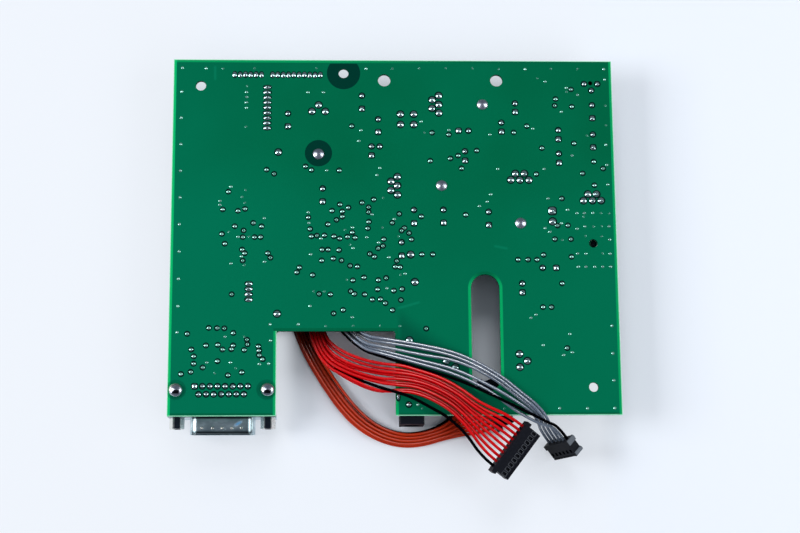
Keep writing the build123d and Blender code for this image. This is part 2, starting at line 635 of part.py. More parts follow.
def wire(name, points):
    points = [Vector(*point) for point in points]
    runs = [b - a for a, b in zip(points, points[1:])]
    room = [run.length * 0.45 for run in runs]
    room[0], room[-1] = room[0] * 2, room[-1] * 2
    radii = []
    for before, after, first, second in zip(runs, runs[1:], room, room[1:]):
        radii.append(min(first, second) / tan(radians(before.get_angle(after) / 2)))
    with BuildPart() as tube:
        with BuildLine() as path:
            FilletPolyline(*points, radius=radii)
        with BuildSketch(Plane(origin=points[0], z_dir=runs[0])):
            Circle(wire_dia / 2)
        sweep()
    print(name, "length", round(path.wire().length, 1), "tightest", round(min(radii), 2), end=" ")
    print("volume ratio", round(tube.part.volume / (path.wire().length * pi * wire_dia**2 / 4), 4))
    save(tube.part, name)


def ends(seat, count):
    last = entries(seat, count)
    return [[place + seat.y_dir * straight for place in last], last]


bundles = [("red", red_route, red_seat, 10), ("orange", orange_route, orange_seat, 9)]
for colour, route, seat, count in bundles:
    stations = [station(*passage, count) for passage in route] + ends(seat, count)
    for i in range(count):
        wire(f"{colour}_harness_wire_{i + 1}", [places[i] for places in stations])

stations = [station(*passage, 6) for passage in grey_route]
for i, turn in enumerate(grey_turns):
    arrival = [places[grey_order[i]] for places in ends(grey_seat, 6)]
    wire(f"grey_harness_wire_{i + 1}", [places[i] for places in stations] + [spot(*turn)] + arrival)
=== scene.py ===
import math
import random

import bmesh
import bpy
from mathutils import Matrix, Vector


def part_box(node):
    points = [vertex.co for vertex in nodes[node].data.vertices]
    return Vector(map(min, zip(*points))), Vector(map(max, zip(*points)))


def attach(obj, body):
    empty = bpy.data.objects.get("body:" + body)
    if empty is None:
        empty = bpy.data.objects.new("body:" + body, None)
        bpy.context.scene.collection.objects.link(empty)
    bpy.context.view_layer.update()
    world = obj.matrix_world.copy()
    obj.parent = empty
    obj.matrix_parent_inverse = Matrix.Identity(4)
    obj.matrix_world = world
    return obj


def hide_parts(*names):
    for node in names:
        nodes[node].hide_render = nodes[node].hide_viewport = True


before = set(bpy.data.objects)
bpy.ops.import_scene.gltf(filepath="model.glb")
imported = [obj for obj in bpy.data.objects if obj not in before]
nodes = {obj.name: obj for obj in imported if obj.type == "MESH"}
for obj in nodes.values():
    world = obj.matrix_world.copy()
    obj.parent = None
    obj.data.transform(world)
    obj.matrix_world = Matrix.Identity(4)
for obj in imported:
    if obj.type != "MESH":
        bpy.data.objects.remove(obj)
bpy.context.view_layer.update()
print("frame loaded")

mm = 0.001
boardLow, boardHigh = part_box("circuit_board")
topSide = boardHigh.z


def place(x, y, z=0.0):
    # millimetres from the board's left and rear edges and over the table, as a point in metres
    return Vector((boardLow.x + x * mm, boardHigh.y - y * mm, z * mm))


class Signal:
    # a shader value; arithmetic on it adds Math nodes
    def __init__(self, paint, socket):
        self.paint = paint
        self.socket = socket

    def combine(self, operation, *values):
        return self.paint.node("Math", {"operation": operation}, values)

    def __add__(self, other):
        return self.combine("ADD", self, other)

    __radd__ = __add__

    def __sub__(self, other):
        return self.combine("SUBTRACT", self, other)

    def __rsub__(self, other):
        return self.combine("SUBTRACT", other, self)

    def __mul__(self, other):
        return self.combine("MULTIPLY", self, other)

    __rmul__ = __mul__

    def __truediv__(self, other):
        return self.combine("DIVIDE", self, other)

    def __abs__(self):
        return self.combine("ABSOLUTE", self)

    def __lt__(self, other):
        return self.combine("LESS_THAN", self, other)

    def __gt__(self, other):
        return self.combine("GREATER_THAN", self, other)

    def __pow__(self, other):
        return self.combine("POWER", self, other)

    def least(self, other):
        return self.combine("MINIMUM", self, other)

    def most(self, other):
        return self.combine("MAXIMUM", self, other)


class Paint:
    # one procedural material on the Principled shader
    def __init__(self, name, colour=(0.8, 0.8, 0.8), **fixed):
        self.material = bpy.data.materials.new(name)
        self.material.use_nodes = True
        self.tree = self.material.node_tree
        self.shader = self.tree.nodes["Principled BSDF"]
        self.shader.inputs["Base Color"].default_value = (*colour, 1)
        for socket, value in fixed.items():
            self.shader.inputs[socket.replace("_", " ")].default_value = value

    def node(self, kind, settings=None, inputs=(), output=0):
        made = self.tree.nodes.new("ShaderNode" + kind)
        for key, value in (settings or {}).items():
            if key == "stops":
                ramp = made.color_ramp
                while len(ramp.elements) < len(value):
                    ramp.elements.new(0.5)
                for element, (spot, colour) in zip(ramp.elements, value):
                    element.position = spot
                    element.color = (*colour, 1)
            else:
                setattr(made, key, value)
        pairs = inputs.items() if isinstance(inputs, dict) else enumerate(inputs)
        for key, value in pairs:
            if isinstance(value, Signal):
                self.tree.links.new(value.socket, made.inputs[key])
            else:
                made.inputs[key].default_value = value
        return Signal(self, made.outputs[output])

    def feed(self, socket, signal):
        self.tree.links.new(signal.socket, self.shader.inputs[socket])

    def spot(self):
        return self.node("TexCoord", output="Object")

    def axes(self):
        # object coordinates in millimetres
        split = self.node("SeparateXYZ", inputs=[self.spot()])
        outputs = split.socket.node.outputs
        return [Signal(self, outputs[i]) * 1000 for i in range(3)]

    def fromEdges(self):
        # millimetres from the board's left, right, rear and front edges, and over the table
        x, y, z = self.axes()
        fromLeft, fromRight = x - boardLow.x * 1000, boardHigh.x * 1000 - x
        fromRear, fromFront = boardHigh.y * 1000 - y, y - boardLow.y * 1000
        return fromLeft, fromRight, fromRear, fromFront, z

    def noise(self, scale, detail=2.0, roughness=0.5, where=None):
        inputs = {"Scale": scale, "Detail": detail, "Roughness": roughness, "Vector": where or self.spot()}
        return self.node("TexNoise", inputs=inputs)

    def stretched(self, x, y, z):
        return self.node("Mapping", inputs={"Vector": self.spot(), "Scale": (x, y, z)})

    def between(self, value, low, high):
        # a soft step from 0 at low to 1 at high
        inputs = {"Value": value, "From Min": low, "From Max": high}
        return self.node("MapRange", {"interpolation_type": "SMOOTHSTEP"}, inputs)

    def mix(self, factor, first, second):
        def colour(value):
            return value if isinstance(value, Signal) else (*value, 1)

        return self.node("Mix", {"data_type": "RGBA"}, {0: factor, 6: colour(first), 7: colour(second)}, 2)

    def bump(self, height, strength=0.3, distance=0.0001):
        inputs = {"Height": height, "Strength": strength, "Distance": distance}
        self.feed("Normal", self.node("Bump", inputs=inputs))


def srgb(red, green, blue):
    # a colour of a screen, 0 to 255, as the shader's own numbers
    def linear(value):
        value /= 255
        return value / 12.92 if value <= 0.04045 else ((value + 0.055) / 1.055) ** 2.4

    return tuple(linear(value) for value in (red, green, blue))


def finishMesh(mesh, name, paint, smooth=True, replaces=()):
    bmesh.ops.recalc_face_normals(mesh, faces=mesh.faces)
    data = bpy.data.meshes.new(name)
    for face in mesh.faces:
        face.smooth = smooth
    mesh.to_mesh(data)
    mesh.free()
    piece = bpy.data.objects.new(name, data)
    bpy.context.scene.collection.objects.link(piece)
    piece.data.materials.append(paint.material)
    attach(piece, "root")
    if replaces:
        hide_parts(*replaces)
    return piece


def latheInto(mesh, profile, centre, steps):
    # spins a profile of (radius, height) in millimetres round an upright axis
    spots = [centre + Vector((radius * mm, 0, height * mm)) for radius, height in profile]
    verts = [mesh.verts.new(spot) for spot in spots]
    edges = [mesh.edges.new(pair) for pair in zip(verts, verts[1:])]
    bmesh.ops.spin(mesh, geom=verts + edges, cent=centre, axis=(0, 0, 1), angle=math.tau, steps=steps,
                   use_merge=True)


def dress(names, paint):
    for name in names:
        node = nodes[name]
        node.data.materials.clear()
        node.data.materials.append(paint.material)


boardLook = {
    "green": srgb(0, 107, 77),
    "shadedGreenRight": srgb(0, 100, 69),
    "shadedGreenRear": srgb(0, 94, 62),
    # painted shade: where the green turns into these two darker greens, from the left and from the rear edge
    "rightward": (5, 110),
    "rearward": (32, 64),
    "cloudiness": 1.1,
    "margin": srgb(0, 93, 62),
    "glow": srgb(10, 180, 104),
    "rim": srgb(165, 244, 205),
    "wall": srgb(8, 80, 58),
    "bareAndShade": srgb(0, 52, 42),
    "marginWidth": 1.15,
    # how strongly the light that enters each edge shows in the margin beside it
    "edgeGlow": {"left": 0.95, "right": 0.55, "notchLeft": 0.6, "notchRight": 0.7, "slot": 0.65, "rear": 0.5},
    "notch": (39.4, 83.0, 103.9),  # left side, right side and end
    "slot": (116.4, 82.7, 126.4, 5.3),  # middle, start, end and half width
    # the harnesses keep the light off the board: a band through a point, its direction, and how it fades
    "band": {"through": (84, 109), "along": (0.565, 0.825), "reach": (5, 13), "start": (83, 86),
             "end": (112, 126), "strength": 0.5},
    # both ends of each pale scuff and its strength; middle, radius and strength of each bare disc
    "scuff": srgb(12, 132, 100),
    "scuffs": [(15.5, 2.5, 15.6, 8.0, 0.3), (84.0, 95.5, 92.0, 93.2, 0.35), (120.0, 72.0, 125.0, 73.0, 0.3)],
    "bareDiscs": [(54.6, 36.5, 5.1, 1.0), (64.0, 5.2, 6.3, 1.0), (3.1, 125.4, 3.7, 0.35),
                  (36.0, 125.4, 3.7, 0.35)],
}


def boardPaint():
    look = boardLook
    paint = Paint("solder_mask", look["green"], Roughness=0.5, Specular_IOR_Level=0.02)
    fromLeft, fromRight, fromRear, fromFront, z = paint.fromEdges()
    left, right, depth = look["notch"]
    behindNotch = depth - fromRear
    notch = (left - fromLeft).most(fromLeft - right).most(behindNotch)
    middle, start, end, radius = look["slot"]
    across = abs(fromLeft - middle)
    along = (abs(fromRear - (start + end) / 2) - ((end - start) / 2 - radius)).most(0)
    slotMiddle = (across * across + along * along) ** 0.5
    edges = {
        "left": fromLeft,
        "right": fromRight,
        "notchLeft": (left - fromLeft).most(behindNotch * 20).most((left - fromLeft) * -50),
        "notchRight": (fromLeft - right).most(behindNotch * 20).most((fromLeft - right) * -50),
        "slot": slotMiddle - radius,
        "rear": fromRear,
    }
    nearest = fromLeft.least(fromRight).least(fromRear).least(fromFront).least(notch).least(edges["slot"])
    wide = look["marginWidth"]

    def beside(distance):
        return 1 - paint.between(distance, wide - 0.25, wide + 0.1)

    cloudy = paint.noise(18, 3)
    # painted shade: the green darkens towards the right edge and towards the rear edge
    green = paint.mix(paint.between(fromLeft, *look["rightward"]), look["green"], look["shadedGreenRight"])
    rearShade = (1 - paint.between(fromRear, *look["rearward"])) * (paint.between(fromLeft, 5, 60) * 0.5 + 0.5)
    green = paint.mix(rearShade, green, look["shadedGreenRear"])
    lighter = [c * look["cloudiness"] for c in look["green"]]
    green = paint.mix(paint.between(cloudy, 0.35, 0.75) * 0.4, green, lighter)
    band = look["band"]
    (bandX, bandY), (alongX, alongY) = band["through"], band["along"]
    aside = abs((fromLeft - bandX) * alongX - (fromRear - bandY) * alongY)
    shaded = (1 - paint.between(aside, *band["reach"])) * paint.between(fromLeft, *band["start"])
    shaded = shaded * (1 - paint.between(fromLeft, *band["end"]))
    # painted shade where the harnesses keep the light off, in the bare laminate's colour
    green = paint.mix(shaded * band["strength"], green, look["bareAndShade"])
    colour = paint.mix(beside(nearest), green, look["margin"])
    for edge, strength in look["edgeGlow"].items():
        glow = beside(edges[edge]) * strength
        if edge == "slot":
            glow = glow * (across / slotMiddle) ** 3
        if edge == "notchRight":
            glow = glow * paint.between(fromRear, 112, 128)
        if edge == "rear":
            glow = glow * (1 - paint.between(fromLeft, 40, 125))
        colour = paint.mix(glow, colour, look["glow"])
    for startX, startY, endX, endY, strength in look["scuffs"]:
        length = math.dist((startX, startY), (endX, endY))
        runX, runY = (endX - startX) / length, (endY - startY) / length
        reach = (fromLeft - startX) * runX + (fromRear - startY) * runY
        aside = abs((fromLeft - startX) * runY - (fromRear - startY) * runX)
        beyond = (reach - length).most(0 - reach)
        scuff = (1 - paint.between(aside, 0.2, 0.7)) * (1 - paint.between(beyond, -0.5, 0.5))
        colour = paint.mix(scuff * strength, colour, look["scuff"])
    for px, py, size, strength in look["bareDiscs"]:
        apart = ((fromLeft - px) ** 2 + (fromRear - py) ** 2) ** 0.5
        disc = (1 - paint.between(apart, size - 0.12, size + 0.12)) * (fromRear > 1.4) * strength
        colour = paint.mix(disc, colour, look["bareAndShade"])
    colour = paint.mix(z < topSide * 1000 - 0.03, colour, look["wall"])
    # a painted highlight along the outer edges and the notch's left side
    outer = fromLeft.least(fromRight).least(fromRear).least(fromFront).least(edges["notchLeft"])
    colour = paint.mix((1 - paint.between(outer, 0.1, 0.3)) * 0.8, colour, look["rim"])
    paint.feed("Base Color", colour)
    paint.bump(paint.noise(900, 2) * 0.4 + paint.noise(120, 2), 0.08, 0.0002)
    return paint


dress(["circuit_board"], boardPaint())
print("board painted")


def metalPaint(name, colour, roughness, grain=300, worn=0.1, metallic=1.0):
    paint = Paint(name, colour, Metallic=metallic, Roughness=roughness)
    streaks = paint.noise(grain, 3, where=paint.stretched(1, 6, 1))
    paint.feed("Roughness", paint.between(streaks, 0.2, 0.8) * worn + roughness)
    paint.feed("Base Color", paint.mix(paint.between(streaks, 0.3, 0.8), colour, [c * 0.86 for c in colour]))
    paint.bump(streaks, 0.05, 0.0001)
    return paint


def plasticPaint(name, colour, roughness, texture=1500, coat=0.0, shine=0.5):
    paint = Paint(name, colour, Roughness=roughness, Coat_Weight=coat, Coat_Roughness=0.15,
                  Specular_IOR_Level=shine)
    fine = paint.noise(texture, 3)
    broad = paint.noise(60, 2)
    worn = [c * 1.18 + 0.002 for c in colour]
    paint.feed("Roughness", paint.between(broad, 0.3, 0.7) * 0.12 + roughness)
    paint.feed("Base Color", paint.mix(paint.between(fine, 0.35, 0.75), colour, worn))
    paint.bump(fine, 0.08, 0.00008)
    return paint


# the teal tint of the solder and the green tint of the vias are a painted reflection of the green board round
# them
solder = metalPaint("solder", (0.38, 0.55, 0.56), 0.09, 700, 0.1, 0.88)
viaSolder = metalPaint("via_solder", (0.36, 0.74, 0.64), 0.12, 700, 0.1, 0.72)
faintSolder = metalPaint("faint_solder", (0.24, 0.62, 0.52), 0.2, 700, 0.1, 0.7)
tinned = metalPaint("tinned_steel", (0.72, 0.71, 0.66), 0.27, 240)
gold = metalPaint("contact_plating", (0.85, 0.68, 0.35), 0.25)
aluminium = metalPaint("rivet_aluminium", (0.78, 0.82, 0.95), 0.3, 400)
copper = metalPaint("enamelled_copper", (0.65, 0.25, 0.1), 0.3, 900)
blackPlastic = plasticPaint("black_moulding", (0.004, 0.005, 0.009), 0.4, shine=0.12)
packageBlack = plasticPaint("package_moulding", (0.018, 0.018, 0.02), 0.55)
cream = plasticPaint("natural_nylon", (0.78, 0.74, 0.62), 0.45)
sleeve = plasticPaint("can_sleeve", (0.02, 0.03, 0.09), 0.35, coat=0.3)
ferrite = plasticPaint("ferrite", (0.05, 0.05, 0.055), 0.7)
ceramic = plasticPaint("ceramic", (0.3, 0.22, 0.16), 0.6)
filmBox = plasticPaint("dipped_film", (0.5, 0.09, 0.04), 0.3, coat=0.4)
resistor = plasticPaint("painted_body", (0.5, 0.44, 0.33), 0.5)
# the dark laminate in the mask's openings
bareRing = Paint("mask_opening", srgb(0, 34, 28), Roughness=0.6, Specular_IOR_Level=0.02)
ringShade = bareRing.between(bareRing.noise(700, 2), 0.3, 0.7)
bareRing.feed("Base Color", bareRing.mix(ringShade, srgb(0, 28, 24), srgb(0, 44, 36)))

dress(["tall_capacitors", "small_capacitors"], sleeve)
dress(["film_capacitors"], filmBox)
dress(["choke_core"], ferrite)
dress(["choke_windings"], copper)
dress(["integrated_circuits", "jack_body", "dsub_insulator", "trimmer"], blackPlastic)
dress(["power_transistor"] + [f"regulator_{i}" for i in range(1, 6)], packageBlack)
dress(["chip_parts"], ceramic)
dress(["axial_parts"], resistor)
dress(["dsub_brackets", "jack_screws"], tinned)

shellLook = {
    "plating": (0.62, 0.74, 0.8),
    "smudged": (0.42, 0.55, 0.6),
    "clean": (0.75, 0.88, 0.95),
    "dark": (0.05, 0.07, 0.08),
    "boardShadowRear": (135.2, 136.0),  # painted shadow of the board across the rear end of the shell's upper face, from the rear edge
    # a dark line along the front lip of the upper face
    "darkFront": (139.6, 140.6),
    "upperFace": 9.5,
    "blue": (0.06, 0.3, 0.62),  # a slanting blue mirror image on the upper face
    "blueSpot": (25.6, 137.4),
    "blueReach": (0.2, 1.1),
    "blueShare": 0.8,
}


def platedShellPaint():
    look = shellLook
    paint = metalPaint("shell_plating", look["plating"], 0.3, 240)
    fromLeft, _, fromRear, _, height = paint.fromEdges()
    smudge = paint.noise(160, 4, 0.6, paint.stretched(1, 2, 1))
    # painted shadow of the board at the rear end and a dark line at the front lip, on the upper face only
    shadowAndDarkLip = paint.between(fromRear, *look["darkFront"]).most(1 - paint.between(fromRear, *look["boardShadowRear"]))
    onTop = height > look["upperFace"]
    plating = paint.mix(paint.between(smudge, 0.35, 0.7), look["smudged"], look["clean"])
    blueX, blueY = look["blueSpot"]
    aside = ((fromLeft - blueX) ** 2 * 0.25 + (fromRear - blueY + (fromLeft - blueX) * 0.5) ** 2) ** 0.5
    blueness = (1 - paint.between(aside, *look["blueReach"])) * onTop * look["blueShare"]
    paint.feed("Metallic", 1 - blueness)
    plating = paint.mix(blueness, plating, look["blue"])
    paint.feed("Base Color", paint.mix(shadowAndDarkLip * onTop, plating, look["dark"]))
    return paint


dress(["dsub_shell"], platedShellPaint())
dress(["dsub_contacts", "jack_pin"], gold)
dress(["tab_rivets"], aluminium)

headLook = {
    # share of the radius and height over the board's face
    "profile": [(0, 1.12), (0.12, 1.1), (0.34, 0.98), (0.55, 0.79), (0.75, 0.56), (0.93, 0.3), (1, 0.12),
                (1, 0)],
    "rivets": [(116.4, 17.1), (100.6, 48.7), (130.0, 63.1), (54.5, 36.6)],
    "rivetRadius": 2.12,
    "rivetShift": (0.1, 0.2),
    "rivetTail": [(1.6, 0), (1.6, -2.4), (2.3, -2.4), (2.3, -3.0), (0, -3.0)],
    "studs": [(3.1, 125.6), (36.35, 125.5)],
    "studProfile": [(0, 1.78), (0.3, 1.74), (0.8, 1.6), (1.35, 1.4), (1.85, 1.2), (2.3, 0.85), (2.5, 0.3),
                    (2.5, 0)],
    "plating": (0.78, 0.82, 0.95),
    # colour and spot of a painted dark reflection on each stud's dome
    "darkReflection": (0.03, 0.03, 0.04),
    "darkReflectionSpot": (19.7, 16.6, 126.3),  # between both studs, half their spread, from the rear edge
    "steps": 32,
}
headMesh, studMesh = bmesh.new(), bmesh.new()
for x, y in headLook["rivets"]:
    shape = [(share * headLook["rivetRadius"], height) for share, height in headLook["profile"]]
    shiftX, shiftY = headLook["rivetShift"]
    centre = place(x + shiftX, y + shiftY, topSide / mm)
    latheInto(headMesh, shape + headLook["rivetTail"], centre, headLook["steps"])
finishMesh(headMesh, "rivets", aluminium, replaces=["tab_rivets"])
for x, y in headLook["studs"]:
    latheInto(studMesh, headLook["studProfile"], place(x, y, topSide / mm), headLook["steps"])
studPaint = metalPaint("stud_plating", headLook["plating"], 0.22, 400)
fromLeft, _, fromRear, _, _ = studPaint.fromEdges()
middle, halfSpread, darkReflectionRow = headLook["darkReflectionSpot"]
# a painted dark reflection just in front of each stud's middle
acrossDarkReflection = studPaint.between(abs(abs(fromLeft - middle) - halfSpread), 1.0, 1.4)
alongDarkReflection = studPaint.between(abs(fromRear - darkReflectionRow), 0.5, 0.8)
darkReflection = (1 - acrossDarkReflection) * (1 - alongDarkReflection)
studPaint.feed("Base Color", studPaint.mix(darkReflection, headLook["plating"], headLook["darkReflection"]))
finishMesh(studMesh, "stud_heads", studPaint)

# the tab of a power package, seen through the one open hole over it, and a black disc as painted shade in the
# tab's own hole
tabLook = {"tab": (157.1, 71.0), "tabRadius": 1.6, "hole": (157.4, 71.0), "holeRadius": 1.12, "depth": 1.5}


def layDisc(name, spot, radius, rise, paint):
    mesh = bmesh.new()
    centre = place(*spot, topSide / mm - tabLook["depth"])
    latheInto(mesh, [(0, rise), (radius, rise), (radius, 0)], centre, headLook["steps"])
    finishMesh(mesh, name, paint)


layDisc("tab_face", tabLook["tab"], tabLook["tabRadius"], 0.05, tinned)
# a black disc as painted shade in the tab's hole
layDisc("tab_hole_shade", tabLook["hole"], tabLook["holeRadius"], 0.1, blackPlastic)

screwLook = {"plating": (0.8, 0.8, 0.76), "flat": (0.06, 0.07, 0.1), "middle": 19.8, "halfSpread": 16.5}
screwPaint = metalPaint("screw_plating", screwLook["plating"], 0.25, 240)
# a painted dark reflection down the middle of each jack screw
fromScrew = abs(abs(screwPaint.fromEdges()[0] - screwLook["middle"]) - screwLook["halfSpread"])
flat = 1 - screwPaint.between(fromScrew, 0.9, 1.2)
screwPaint.feed("Base Color", screwPaint.mix(flat, screwLook["plating"], screwLook["flat"]))
dress(["jack_screws"], screwPaint)
dress(["open_headers", "six_pin_header", "ten_pin_header", "nine_pin_header"], cream)
dress(["six_way_plug", "ten_way_plug", "nine_way_plug", "red_plug", "grey_plug", "orange_plug"], blackPlastic)
print("parts painted")

solderLook = {
    # share of the radius and share of the height, from the middle outwards
    "dome": [(0, 1), (0.12, 0.98), (0.3, 0.86), (0.6, 0.5), (0.85, 0.18), (0.95, 0.05), (1, -0.05)],
    "cone": [(0, 1.25), (0.14, 1.22), (0.26, 1.05), (0.35, 0.84), (0.5, 0.64), (0.7, 0.37), (0.86, 0.16),
             (1, -0.05)],
    "bead": [(0, -0.2), (0.3, -0.1), (0.5, 0.5), (0.66, 1), (0.8, 0.85), (0.92, 0.35), (1, -0.05)],
    "ringLift": 0.012,
    "sink": 0.03,
    "tilt": 5,
    "shift": (0.06, 0.24),
    "spread": (0.00095, -0.00066),  # and so much more for each millimetre from the corner
    "seed": 4,
}
# half width, half depth, height and squareness of each kind of fillet, with the half width and half depth
# of the ring the mask leaves round it
filletKinds = {
    "lead": (1.2, 1.2, 0.52, 2.0, 1.57, 1.57),
    "large": (1.22, 1.22, 0.56, 2.0, 1.6, 1.6),
    "power": (1.35, 1.3, 0.6, 2.0, 1.7, 1.68),
    "powerSquare": (1.42, 1.42, 0.62, 4.0, 1.75, 1.75),
    "small": (0.84, 0.86, 0.38, 2.0, 1.3, 1.3),
    "smallSquare": (0.92, 0.96, 0.42, 4.0, 1.28, 1.28),
    "tall": (0.82, 1.12, 0.4, 2.4, 0.98, 1.4),
    "wide": (1.4, 0.78, 0.5, 2.4, 1.72, 0.96),
    "wider": (1.3, 0.86, 0.6, 2.6, 1.6, 1.0),
    "slotted": (0.5, 1.2, 0.3, 2.4, 0.85, 1.55),
    "signal": (0.82, 0.6, 0.4, 2.0, 1.13, 1.13),
    "hollow": (0.66, 0.6, 0.2, 2.0, 1.13, 1.13),
    "faint": (0.5, 0.44, 0.06, 2.0, 0, 0),
    "ground": (0.66, 0.46, 0.32, 2.0, 0, 0),
    "stitch": (0.6, 0.55, 0.34, 2.0, 0, 0),
}
